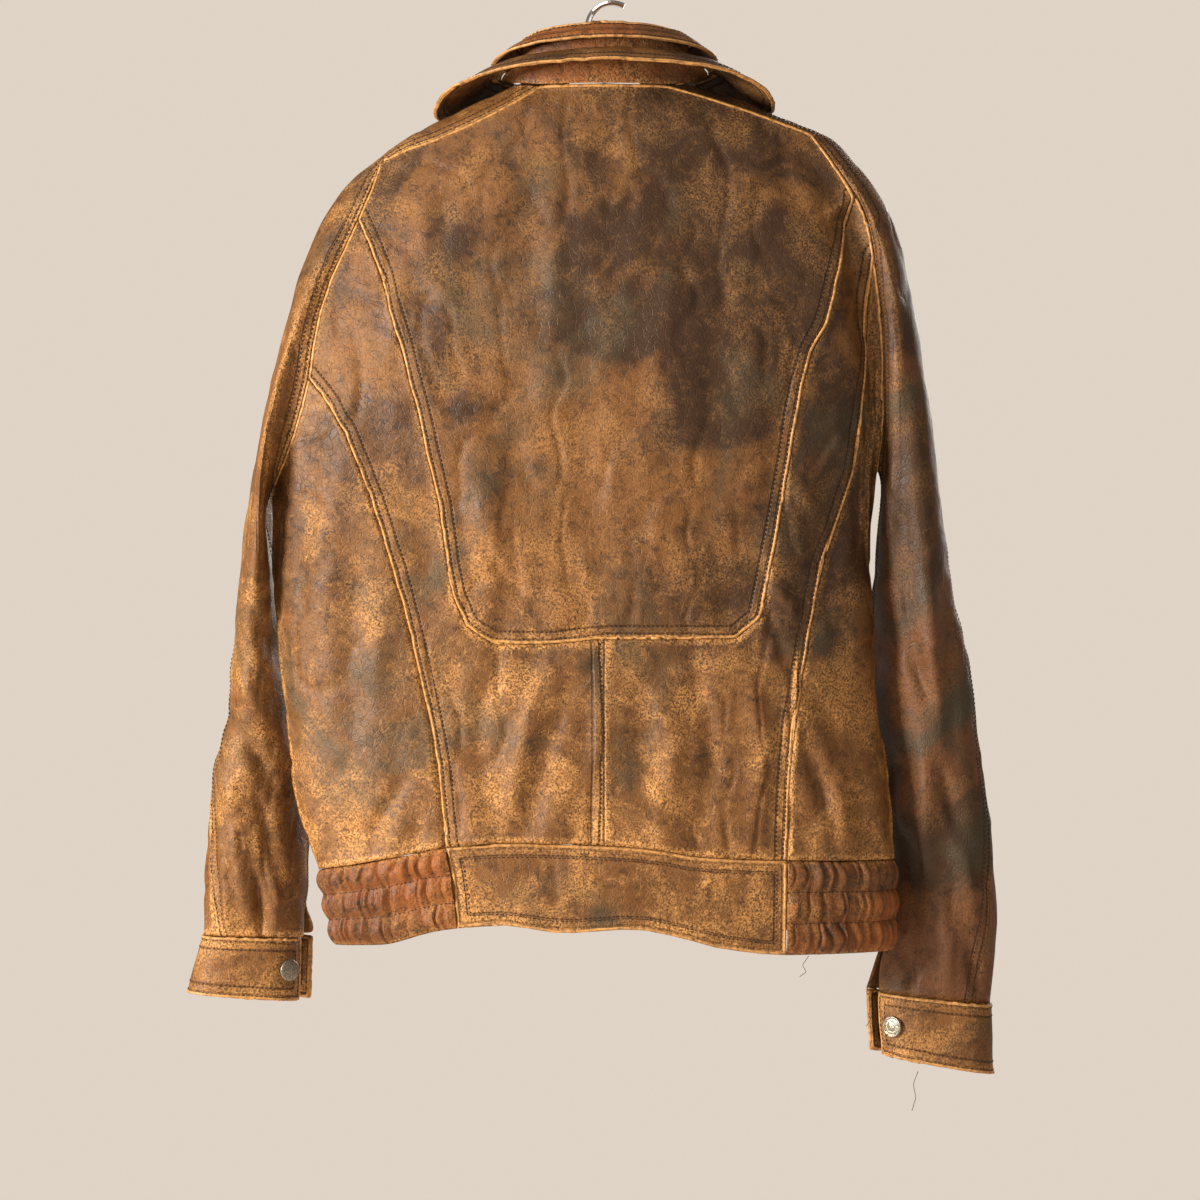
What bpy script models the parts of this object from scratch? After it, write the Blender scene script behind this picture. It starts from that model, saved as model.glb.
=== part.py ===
"""Worn leather jacket on a hanger, back towards +Y, front towards -Y.

The origin is the underside of the hook's crown, where the hanger hangs.
Outlines are in millimetres; the wearer's left is +X. Every body panel lies on
one surface, given by an angle round the body and a height, so that panels
meet along the same seam lines.
"""
import math

import bpy
import numpy as np

MM = 0.001
CENTRE_X = 6.0
LEATHER = 1.6
SEAM_GAP = 0.16
SKIVE = 1.0

# Body half-outline seen from behind: (x, z) of the left and right edges.
LEFT_EDGE = [(78, -66), (111, -76), (140, -90), (163, -102), (186, -118), (204, -132), (217, -147),
             (236, -186), (253, -235), (265, -289), (269, -335), (268, -382), (267, -435), (262, -525),
             (255, -590), (249, -631), (239, -660), (231, -680), (226, -700), (219, -739)]
RIGHT_EDGE = [(-66, -66), (-100, -74), (-132, -86), (-168, -101), (-192, -119), (-209, -144),
              (-219, -170), (-222, -201), (-223, -226), (-221, -273), (-217, -324), (-209, -367),
              (-203, -391), (-204, -447), (-209, -494), (-211, -546), (-219, -602), (-223, -670),
              (-222, -743)]
# Half-depth of the back and of the front at heights z.
BACK_DEPTH = [(36, -60), (38, -90), (44, -115), (56, -155), (66, -200), (73, -260), (75, -330),
              (70, -400), (62, -470), (57, -550), (56, -640), (58, -670), (54, -745)]
FRONT_DEPTH = [(36, -60), (38, -80), (46, -115), (54, -150), (64, -200), (71, -260), (73, -330),
               (68, -400), (61, -470), (57, -550), (55, -640), (57, -670), (53, -745)]
PROFILE_POWER = 2.2

# Seams seen from behind, (x, z).
ARMHOLE_LEFT = [(181, -124), (190, -152), (208, -193), (222, -224), (232, -261), (237, -296),
                (250, -342), (261, -367), (268, -382)]
ARMHOLE_RIGHT = [(-156, -102), (-168, -119), (-186, -144), (-199, -170), (-205, -201), (-209, -226),
                 (-212, -273), (-213, -324), (-209, -367)]
SHOULDER_LEFT = [(181, -124), (159, -114), (129, -104), (83, -82), (56, -66)]
SHOULDER_RIGHT = [(-156, -102), (-115, -87), (-80, -76), (-44, -66)]
TOP_LEFT = [(184, -117), (163, -102), (140, -90), (111, -76), (78, -62)]
TOP_RIGHT = [(-161, -97), (-147, -92), (-132, -86), (-100, -73), (-66, -62)]
CENTRE_PANEL_LEFT = [(198, -172), (183, -206), (170, -249), (158, -292), (146, -339), (134, -395),
                     (129, -435), (122, -469), (114, -487), (103, -498), (92, -502)]
CENTRE_PANEL_RIGHT = [(-190, -154), (-181, -183), (-176, -215), (-165, -257), (-156, -272),
                      (-145, -312), (-138, -360), (-129, -409), (-122, -447), (-116, -480),
                      (-107, -492), (-96, -498)]
SIDE_SEAM_LEFT = [(237, -296), (226, -308), (208, -337), (195, -368), (181, -406), (170, -440),
                  (161, -476), (152, -514), (145, -546), (136, -590), (132, -629), (129, -660)]
SIDE_SEAM_RIGHT = [(-205, -201), (-200, -234), (-197, -289), (-194, -342), (-186, -378), (-172, -417),
                   (-161, -453), (-152, -502), (-145, -546), (-138, -602), (-136, -670)]
WAIST = [(231, -680), (204, -675), (159, -666), (129, -660), (76, -656), (6, -658), (-34, -661),
         (-69, -667), (-136, -670), (-223, -672)]
HEM = [(219, -739), (181, -737), (129, -724), (86, -720), (36, -726), (-14, -723), (-54, -730),
       (-83, -738), (-136, -744), (-222, -743)]
WAIST_FRONT_Z = -664.0
HEM_FRONT_Z = -727.0
FRONT_TAB = 62.0

# Sleeve rings: outer edge (x, y, z), inner edge (x, y, z) and half-depth.
SLEEVE_LEFT = [((184, 0, -117), (268, 0, -382), 34), ((212, 0, -142), (270, -1, -387), 38),
               ((236, 0, -186), (272, -3, -394), 42), ((257, -2, -250), (274, -8, -406), 46),
               ((272, -6, -312), (273, -18, -423), 50), ((283, -13, -380), (268, -32, -448), 53),
               ((291, -22, -437), (262, -46, -484), 55), ((300, -33, -507), (254, -57, -538), 55),
               ((312, -42, -577), (246, -62, -597), 51), ((326, -48, -647), (241, -62, -659), 44),
               ((329, -50, -694), (243, -60, -702), 37), ((327, -50, -735), (243, -58, -737), 31)]
SLEEVE_RIGHT = [((-161, 0, -97), (-209, 0, -367), 34), ((-182, 1, -109), (-211, -1, -373), 38),
                ((-205, 2, -140), (-212, -3, -381), 42), ((-222, 2, -168), (-212, -8, -392), 44),
                ((-232, 0, -211), (-211, -16, -407), 46), ((-240, -2, -253), (-209, -26, -429), 48),
                ((-251, -6, -312), (-207, -36, -457), 50), ((-259, -12, -380), (-206, -46, -493), 53),
                ((-269, -20, -452), (-207, -52, -534), 55), ((-285, -28, -515), (-208, -55, -576), 54),
                ((-292, -34, -577), (-211, -57, -624), 52), ((-303, -38, -647), (-215, -57, -677), 47),
                ((-309, -40, -710), (-217, -55, -729), 39), ((-303, -40, -789), (-212, -48, -780), 31)]
RING_FADE = 0.45
STRIP_ANGLE = math.radians(30)
SLEEVE_SEAM_CUFF = math.radians(52)
PLACKET_START = 0.95
PLACKET_BACK = math.radians(12)
PLACKET_UNDER = math.radians(8)
PLACKET_FLARE = 13.0

# Largest folds of the back: start, end (x, z), half-width and height.
FOLDS = [((104, -663), (112, -612), 9, 5), ((62, -690), (40, -600), 14, 4),
         ((-160, -668), (-143, -570), 10, 6), ((-182, -672), (-170, -600), 12, 5),
         ((150, -650), (146, -600), 9, 4), ((190, -665), (196, -580), 14, 4),
         ((40, -540), (70, -600), 16, 3), ((-40, -655), (-60, -560), 14, 3),
         ((205, -330), (215, -520), 26, 5), ((80, -300), (72, -470), 22, -3),
         ((-60, -250), (-52, -440), 30, 2), ((-140, -400), (-118, -500), 14, 3)]
TROUGH_LINE = [(-155, -108), (-161, -134), (-170, -179), (-176, -224), (-186, -268), (-193, -312),
               (-200, -367)]
TROUGH_DEPTH = 15.0

# Neck ellipse and collar rails: half-width, back, front, z at the back, side and front.
NECK_SIDE_Z = -62.0
NECK_DROP = 51.0
NECK_HALF = 72.0
STRIP_START = math.radians(44)
STAND_TOP = (82, 32, 46, -42, -57, -66)
FALL_UNDER = (82, 32, 46, -41.4, -56.4, -65.4)
FALL_CROWN = (90, 40, 55, -37, -53, -66)
FALL_MIDDLE = (113, 53, 66, -41, -66, -104)
FALL_EDGE = (136, 64, 76, -50, -84, -156)
FRONT_FALL_POWER = 2.4
COLLAR_TILT = 0.02
INNER_WAIST = (63, 27, 37, -36, -42, -52)
INNER_CROWN = (67, 30, 40, -17, -31, -38)
INNER_MIDDLE = (80, 38, 44, -22, -38, -45)
INNER_EDGE = (90, 46, 47, -31, -47, -54)

RUCHES = 28
RUCHE_HEIGHT = 2.4
TIERS = 3
TIER_BULGE = 2.6

# Segments of each seam, shared by the panels on both its sides.
ARMHOLE_SEGMENTS = (2, 5, 4)
RAIL_SEGMENTS = 14
HALF_COLUMNS = 9
SHOULDER_SEGMENTS = 6
NECK_SEGMENTS = 6
FRONT_NECK_SEGMENTS = 4
STRIP_COLUMNS = 4
FRONT_COLUMNS = 2
SLEEVE_ROWS = 16
CUFF_ROWS = 2
CUFF_COLUMNS = 20
COLLAR_COLUMNS = 26
BOTTOM_Z = -498.0
NECK_Z = -66.0
SLEEVE_STEP = 0.35
FLARE_REACH = math.radians(35)
CUFF_LEFT = (((327, -50, -735.1), (340, -50, -781)), ((247, -58, -738.1), (249, -58, -788)))
CUFF_RIGHT = (((-303, -40, -789.5), (-305, -40, -845)), ((-212, -48, -780), (-214, -48, -830)))
CUFF_HALF_DEPTH = 31.0
CUFF_SQUARENESS = 2.8
CUFF_LEATHER = 2.4
SNAP_SEAT = 0.75
COLLAR_END = math.radians(154)
COLLAR_LIFT = 0.5
INNER_INSET = 4.9
BAND_GAP = 0.25
ELASTIC_WALL = 2.0
FLY_SEAT = 0.6
FLY_SNAPS = 5
FLY_SPAN = (-12.0, 26.0)
FLY_SNAP_X = 7.0
FLY_SNAP_TOP = -165.0
FLY_SNAP_BOTTOM = -698.0
SNAP_RADIUS = 8.6
SNAP_HEIGHT = 2.6
STUD_RADIUS = 5.0
STUD_HEIGHT = 3.0

HOOK_RADIUS = 19.0
HOOK_WIRE = 2.3
HOOK_SWEEP = (-55, 120)
BAR_HALF_LENGTH = 150.0
BAR_HALF_WIDTH = 8.0
BAR_HALF_HEIGHT = 9.0
BAR_CLEARANCE = 3.8
BAR_HUMP = [(-59.0, 40.0), (-57.0, CENTRE_X), (-59.0, -28.0)]

BODY_COLOUR = (0.17, 0.085, 0.042)
LEATHER_COLOURS = [("collar_stand", (0.16, 0.055, 0.02)), ("collar_inner", (0.16, 0.055, 0.02)),
                   ("waist_elastic", (0.16, 0.055, 0.02)), ("sleeve", (0.13, 0.062, 0.03)),
                   ("cuff_left", (0.24, 0.135, 0.07))]
SNAP_COLOUR = (0.42, 0.36, 0.28)
BAR_COLOUR = (0.05, 0.035, 0.025)
HOOK_COLOUR = (0.6, 0.6, 0.6)


def clear_scene():
    for obj in list(bpy.data.objects):
        bpy.data.objects.remove(obj, do_unlink=True)


def pchip(pairs):
    """A smooth curve of value against key without overshoot, from (value, key) pairs."""
    keys = np.array([p[1] for p in pairs], float)
    values = np.array([p[0] for p in pairs], float)
    order = np.argsort(keys)
    keys, values = keys[order], values[order]
    steps = np.diff(keys)
    slopes = np.diff(values) / steps
    tangents = np.zeros_like(values)
    same_way = slopes[:-1] * slopes[1:] > 0
    tangents[1:-1][same_way] = (2 * slopes[:-1] * slopes[1:] / (slopes[:-1] + slopes[1:] + 1e-12))[same_way]
    tangents[0], tangents[-1] = slopes[0], slopes[-1]

    def curve(at):
        at = np.clip(np.asarray(at, float), keys[0], keys[-1])
        i = np.clip(np.searchsorted(keys, at, side="right") - 1, 0, len(steps) - 1)
        s = (at - keys[i]) / steps[i]
        return (values[i] * (1 + 2 * s) * (1 - s) ** 2 + tangents[i] * steps[i] * s * (1 - s) ** 2
                + values[i + 1] * s * s * (3 - 2 * s) + tangents[i + 1] * steps[i] * s * s * (s - 1))

    return curve


def spline(points, at):
    """Catmull-Rom curve through the points, read at fractions of its length."""
    points = np.array(points, float)
    ends = np.vstack([2 * points[0] - points[1], points, 2 * points[-1] - points[-2]])
    fine = []
    for i in range(len(points) - 1):
        a, b, c, d = ends[i:i + 4]
        s = np.linspace(0, 1, 12, endpoint=False)[:, None]
        fine.append(0.5 * (2 * b + (c - a) * s + (2 * a - 5 * b + 4 * c - d) * s ** 2
                           + (3 * b - a - 3 * c + d) * s ** 3))
    fine = np.vstack(fine + [points[-1:]])
    length = np.concatenate([[0], np.cumsum(np.linalg.norm(np.diff(fine, axis=0), axis=1))])
    at = np.asarray(at, float) * length[-1]
    return np.stack([np.interp(at, length, fine[:, k]) for k in range(fine.shape[1])], axis=-1)


LEFT_WIDTH = pchip([(x - CENTRE_X, z) for x, z in LEFT_EDGE])
RIGHT_WIDTH = pchip([(CENTRE_X - x, z) for x, z in RIGHT_EDGE])
BACK = pchip(BACK_DEPTH)
FRONT = pchip(FRONT_DEPTH)
TROUGH_X = pchip(TROUGH_LINE)
ARMHOLE_X = pchip(ARMHOLE_RIGHT[:-1] + [(-208, -368)])


def half_width(theta, z):
    return np.where(np.cos(theta) > 0, LEFT_WIDTH(z), RIGHT_WIDTH(z))


def body(theta, z):
    """Point of the garment's outer surface at an angle round it (90 degrees is the back) and a height."""
    theta, z = np.broadcast_arrays(np.asarray(theta, float), np.asarray(z, float))
    across = np.cos(theta)
    depth = np.where(np.sin(theta) >= 0, BACK(z), -FRONT(z))
    x = CENTRE_X + half_width(theta, z) * across
    y = depth * np.sqrt(np.clip(1 - np.abs(across) ** PROFILE_POWER, 0, 1))
    return np.stack([x, y, z], axis=-1)


def angle(points, front=False):
    """Angle and height of outline points (x, z) on the body's back or front."""
    points = np.asarray(points, float)
    x, z = points[..., 0] - CENTRE_X, points[..., 1]
    width = np.where(x > 0, LEFT_WIDTH(z), RIGHT_WIDTH(z))
    theta = np.arccos(np.clip(x / width, -1, 1))
    return np.stack([-theta if front else theta, z], axis=-1)


def flat(domain):
    """Outline points (x, z) of points given by angle and height."""
    return body(domain[..., 0], domain[..., 1])[..., [0, 2]]


def fold_height(x, z, sideways):
    """Height of the largest folds over the back at (x, z); they die out at the body's sides."""
    total = np.zeros_like(x)
    for (x0, z0), (x1, z1), width, height in FOLDS:
        along = np.clip(((x - x0) * (x1 - x0) + (z - z0) * (z1 - z0))
                        / ((x1 - x0) ** 2 + (z1 - z0) ** 2), 0, 1)
        away = np.hypot(x - x0 - along * (x1 - x0), z - z0 - along * (z1 - z0))
        total += height * np.exp(-(away / width) ** 2)
    total *= 1 - sideways ** 8
    crest, seam = TROUGH_X(z), ARMHOLE_X(z)
    middle, reach = (crest + seam) / 2, np.maximum((crest - seam) / 2, 3.0)
    across = np.clip(np.abs(x - middle) / reach, 0, 1)
    fade = np.clip((z + 360) / 60, 0, 1) * np.clip((-112 - z) / 40, 0, 1)
    return total - TROUGH_DEPTH * np.cos(across * math.pi / 2) ** 2 * fade


def on_back(domain):
    """Points of the back at (angle, height), with the largest folds."""
    points = body(domain[..., 0], domain[..., 1])
    points[..., 1] += fold_height(points[..., 0], points[..., 2], np.abs(np.cos(domain[..., 0])))
    return points


def on_front(domain):
    return body(domain[..., 0], domain[..., 1])


def coons(top, bottom, left, right):
    """Grid between four curves: rows run from top to bottom and columns from left to right."""
    rows, cols = len(left), len(top)
    u = np.linspace(0, 1, cols)[None, :, None]
    v = np.linspace(0, 1, rows)[:, None, None]
    return ((1 - v) * top[None] + v * bottom[None] + (1 - u) * left[:, None] + u * right[:, None]
            - (1 - u) * (1 - v) * top[0] - u * (1 - v) * top[-1]
            - (1 - u) * v * bottom[0] - u * v * bottom[-1])


def grid_faces(rows, cols, flip=False):
    faces = []
    for r in range(rows - 1):
        for c in range(cols - 1):
            quad = [r * cols + c, (r + 1) * cols + c, (r + 1) * cols + c + 1, r * cols + c + 1]
            faces.append(quad[::-1] if flip else quad)
    return faces


def leather_colour(name):
    for start, colour in LEATHER_COLOURS:
        if name.startswith(start):
            return colour
    return BODY_COLOUR


def add_object(name, points, faces, colour, roughness=0.5, metallic=0.0):
    mesh = bpy.data.meshes.new(name)
    mesh.from_pydata([tuple(p * MM) for p in np.asarray(points, float)], [], [tuple(f) for f in faces])
    mesh.update()
    mesh.shade_smooth()
    mesh.set_sharp_from_angle(angle=math.radians(50))
    material = bpy.data.materials.new(name)
    material.use_nodes = True
    shader = material.node_tree.nodes["Principled BSDF"]
    shader.inputs["Base Color"].default_value = (*colour, 1)
    shader.inputs["Roughness"].default_value = roughness
    shader.inputs["Metallic"].default_value = metallic
    mesh.materials.append(material)
    obj = bpy.data.objects.new(name, mesh)
    bpy.context.scene.collection.objects.link(obj)
    return obj


def vertex_normals(points, faces):
    normals = np.zeros_like(points)
    for face in faces:
        corners = points[face]
        normal = np.cross(corners[2] - corners[0], corners[3] - corners[1])
        for v in face:
            normals[v] += normal
    return normals / np.maximum(np.linalg.norm(normals, axis=1, keepdims=True), 1e-12)


def open_edges(faces):
    """Directed edges that only one face has."""
    found = {}
    for face in faces:
        for a, b in zip(face, face[1:] + face[:1]):
            found[(a, b)] = True
    return [(a, b) for a, b in found if (b, a) not in found]


def inward_pull(points, faces, normals, edges):
    """For each edge point of a sheet, the step along the sheet that clears its neighbour by one unit."""
    after, before = dict(edges), {b: a for a, b in edges}
    centre_sum = {v: np.zeros(3) for v in after}
    for face in faces:
        middle = points[face].mean(axis=0)
        for v in face:
            if v in centre_sum:
                centre_sum[v] += middle - points[v]
    pull = {}
    for v, toward in centre_sum.items():
        ahead = points[after[v]] - points[v]
        behind = points[v] - points[before[v]]
        ahead, behind = ahead / np.linalg.norm(ahead), behind / np.linalg.norm(behind)
        tangent = ahead + behind
        tangent /= max(np.linalg.norm(tangent), 1e-9)
        step = toward - normals[v] * (toward @ normals[v])
        step -= tangent * (step @ tangent)
        half_turn = math.sqrt(max((1 + ahead @ behind) / 2, 0.25))
        pull[v] = step / max(np.linalg.norm(step), 1e-9) / half_turn
    return pull


def wall(name, points, faces, thickness=LEATHER, lift=0.0, raised=None):
    """A sheet of leather as a closed wall: its outer face has the given points, raised where asked."""
    points = np.asarray(points, float)
    faces = [list(f) for f in faces]
    normals = vertex_normals(points, faces)
    edges = open_edges(faces)
    pull = inward_pull(points, faces, normals, edges)
    outer = points + normals * lift
    inner = outer - normals * thickness
    if raised is not None:
        outer = outer + normals * np.asarray(raised, float)[:, None]
    for v, step in pull.items():
        outer[v] += step * SEAM_GAP
        inner[v] += step * (SEAM_GAP + SKIVE)
    count = len(points)
    every = [f for f in faces] + [[v + count for v in reversed(f)] for f in faces]
    every += [[b, a, a + count, b + count] for a, b in edges]
    return add_object(name, np.vstack([outer, inner]), every, leather_colour(name))


def steps(count):
    """Fractions of a curve cut into this many equal segments."""
    return np.linspace(0, 1, count + 1)


def join(*curves):
    return np.vstack([curve[:-1] for curve in curves[:-1]] + [curves[-1]])


def split(points, stops, counts):
    """A curve cut at the outline points nearest the stops, each stretch with its own count of segments."""
    fine = spline(points, np.linspace(0, 1, 600))
    marks = [0] + [int(np.argmin(np.hypot(fine[:, 0] - x, fine[:, 1] - z))) for x, z in stops] + [599]
    return [spline(fine[a:b + 1:3] if b - a > 9 else fine[a:b + 1], steps(n))
            for a, b, n in zip(marks, marks[1:], counts)]


class Outline:
    """The seams of one side, cut into the segments that both neighbours share."""

    def __init__(self, left):
        armhole = ARMHOLE_LEFT if left else ARMHOLE_RIGHT
        inner = CENTRE_PANEL_LEFT if left else CENTRE_PANEL_RIGHT
        outer = SIDE_SEAM_LEFT if left else SIDE_SEAM_RIGHT
        self.left = left
        self.high, self.middle, self.low = split(armhole, [inner[0], outer[0]], ARMHOLE_SEGMENTS)
        self.armhole = join(self.high, self.middle, self.low)
        self.inner = spline([self.high[-1]] + inner[1:], steps(RAIL_SEGMENTS))
        self.outer = spline([self.middle[-1]] + outer[1:], steps(RAIL_SEGMENTS))
        corner = inner[-1]
        self.bottom = spline([corner, ((corner[0] + CENTRE_X) / 2, corner[1]), (CENTRE_X, BOTTOM_Z)],
                             steps(HALF_COLUMNS))
        self.shoulder = spline(SHOULDER_LEFT if left else SHOULDER_RIGHT, steps(SHOULDER_SEGMENTS))
        self.top = spline(TOP_LEFT if left else TOP_RIGHT, steps(SHOULDER_SEGMENTS))
        side = 0.0 if left else math.pi
        under = self.armhole[-1][1]
        hem = float(waist_height(side))
        self.side_seam = np.array([(side, under + (hem - under) * s) for s in steps(RAIL_SEGMENTS)])
        self.waist_angle = float(angle(np.array(outer[-1]))[0])


def around(height_points, front_z):
    """Height as a function of the angle round the body, from points of the back and one of the front."""
    points = angle(np.array(height_points, float))
    pairs = [(z, theta) for theta, z in points]
    left, right = min(pairs, key=lambda p: p[1]), max(pairs, key=lambda p: p[1])
    pairs += [(left[0], 0.0)] if left[1] > 0.02 else []
    pairs += [(right[0], math.pi)] if right[1] < math.pi - 0.02 else []
    pairs += [(front_z, -math.pi / 2), (right[0], -math.pi)]
    curve = pchip(pairs)
    return lambda theta: curve(np.where(np.asarray(theta) > math.pi, np.asarray(theta) - 2 * math.pi, theta))


def edge_on(level, start, end, count):
    """Points (angle, height) along a level line, between two angles."""
    theta = np.linspace(start, end, count + 1)
    return np.stack([theta, level(theta)], axis=-1)


def sheet_of(name, points, flip=False, **options):
    rows, cols = points.shape[:2]
    return wall(name, points.reshape(-1, 3), grid_faces(rows, cols, flip), **options)


def build_back(left, right):
    neck = spline([SHOULDER_LEFT[-1], (CENTRE_X, SHOULDER_LEFT[-1][1]), SHOULDER_RIGHT[-1]],
                  steps(NECK_SEGMENTS))
    centre = coons(join(left.shoulder, neck, right.shoulder[::-1]),
                   join(left.bottom, right.bottom[::-1]),
                   join(left.high, left.inner), join(right.high, right.inner))
    sheet_of("back_center", on_back(angle(centre)))
    seam = np.array([(CENTRE_X, BOTTOM_Z + (float(waist_height(math.pi / 2)) - BOTTOM_Z) * s)
                     for s in steps(len(left.middle) - 1)])
    for side in (left, right):
        inner = join(angle(side.inner), angle(side.bottom))
        waist = edge_on(waist_height, side.waist_angle, math.pi / 2, HALF_COLUMNS)
        outer = join(angle(side.outer), waist)
        outer[RAIL_SEGMENTS] = waist[0]
        if side.left:
            lower = coons(angle(side.middle[::-1]), angle(seam[::-1]), outer, inner)
            flank = coons(angle(side.low[::-1]),
                          edge_on(waist_height, 0.0, side.waist_angle, len(side.low) - 1),
                          side.side_seam, outer[:RAIL_SEGMENTS + 1])
        else:
            lower = coons(angle(side.middle), angle(seam), inner, outer)
            flank = coons(angle(side.low),
                          edge_on(waist_height, side.waist_angle, math.pi, len(side.low) - 1),
                          outer[:RAIL_SEGMENTS + 1], side.side_seam)
        word = "left" if side.left else "right"
        sheet_of("back_lower_" + word, on_back(lower))
        sheet_of("back_side_" + word, on_back(flank))


def neck_height(alpha):
    turn = np.abs(alpha)
    front = np.clip((turn - math.pi + STRIP_START) / STRIP_START, 0, 1)
    return NECK_Z - NECK_DROP * front ** 1.5


def neck(alpha):
    """The neck seam at angles from the centre back: on the back, over the shoulder strips and on the front."""
    alpha = np.asarray(alpha, float)
    x = CENTRE_X + NECK_HALF * np.sin(alpha)
    z = neck_height(alpha)
    theta = angle(np.stack([x, z], axis=-1))[..., 0]
    points = body(np.where(np.abs(alpha) > math.pi / 2, -theta, theta), z)
    strip = np.clip((np.abs(np.cos(alpha)) / math.cos(STRIP_START)), 0, 1)
    points[..., 2] += (NECK_SIDE_Z - NECK_Z) * (1 - strip ** 2)
    return points


def build_front(side):
    across = np.linspace(math.pi, math.pi - STRIP_START, FRONT_NECK_SEGMENTS + 1)
    neckline = neck(across if side.left else -across)
    top = join(angle(neckline[:, [0, 2]], True), angle(side.shoulder[::-1], True))
    edge = join(angle(side.armhole, True), side.side_seam * np.array([-1, 1]))
    side_angle = -side.side_seam[0][0]
    bottom = edge_on(waist_height, -math.pi / 2, side_angle, len(top) - 1)
    height = np.linspace(top[0][1], bottom[0][1], len(edge))
    centre = np.stack([np.full(len(edge), -math.pi / 2), height], axis=-1)
    top, bottom, centre, edge = (flat(curve) for curve in (top, bottom, centre, edge))
    if side.left:
        sheet_of("front_left", on_front(angle(coons(top, bottom, centre, edge), True)))
    else:
        sheet_of("front_right", on_front(angle(coons(top[::-1], bottom[::-1], edge, centre), True)))


def knots_curve(points, at):
    """Catmull-Rom curve read at fractions of its count of knots, not of its length."""
    points = np.array(points, float)
    ends = np.vstack([2 * points[0] - points[1], points, 2 * points[-1] - points[-2]])
    at = np.asarray(at, float) * (len(points) - 1)
    i = np.clip(at.astype(int), 0, len(points) - 2)
    s = (at - i)[..., None]
    a, b, c, d = ends[i], ends[i + 1], ends[i + 2], ends[i + 3]
    return 0.5 * (2 * b + (c - a) * s + (2 * a - 5 * b + 4 * c - d) * s ** 2
                  + (3 * b - a - 3 * c + d) * s ** 3)


def section(outer, inner, depth, phi, squareness, opening):
    """A sleeve's cross-section: 0 is its outer edge, 90 degrees its back and 180 its inner edge."""
    c, s = np.cos(phi), np.sin(phi)
    c = np.sign(c) * np.abs(c) ** (2 / squareness)
    s = np.sign(s) * np.abs(s) ** (2 / squareness)
    half = (outer - inner) / 2
    across = half / np.linalg.norm(half, axis=-1, keepdims=True)
    past = phi - math.pi
    flare = np.where(past > 0, np.clip(1 - past / FLARE_REACH, 0, 1) ** 2, 0) * opening
    points = (outer + inner) / 2 + half * c[..., None]
    points -= across * (flare * PLACKET_FLARE)[..., None]
    points[..., 1] += depth * s
    return points


def sleeve_rings(knots, at, phi):
    outer = knots_curve([k[0] for k in knots], at)
    inner = knots_curve([k[1] for k in knots], at)
    depth = knots_curve([(k[2],) for k in knots], at)[..., 0]
    squareness = 2 + (CUFF_SQUARENESS - 2) * np.clip((at - 0.8) / 0.2, 0, 1)
    opening = np.clip((at - PLACKET_START) / (1 - PLACKET_START), 0, 1)
    return section(outer, inner, depth, phi, squareness, opening)


def armhole_ring(side):
    """The armhole loop as (points, angles): front from the underarm, over the strip, and down the back."""
    back = on_back(angle(side.armhole))
    front = on_front(angle(side.armhole, True))
    length = np.concatenate([[0], np.cumsum(np.linalg.norm(np.diff(back, axis=0), axis=1))])
    turn = STRIP_ANGLE + (math.pi - STRIP_ANGLE) * length / length[-1]
    arch, arch_turn = strip_arch(back[0], front[0], side.top[0]), np.linspace(-1, 1, STRIP_COLUMNS + 1)
    points = np.vstack([front[:0:-1], arch, back[1:]])
    angles = np.concatenate([-turn[:0:-1], arch_turn * STRIP_ANGLE, turn[1:]])
    return points, angles


def strip_arch(back, front, top):
    """Points over the shoulder from the front seam to the back seam, through the top (x, z)."""
    s = np.linspace(-1, 1, STRIP_COLUMNS + 1)[:, None]
    middle = np.array([top[0], (back[1] + front[1]) / 2, top[1]])
    mean, half = (back + front) / 2, (back - front) / 2
    return middle + (mean - middle) * s ** 2 + half * s


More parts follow.
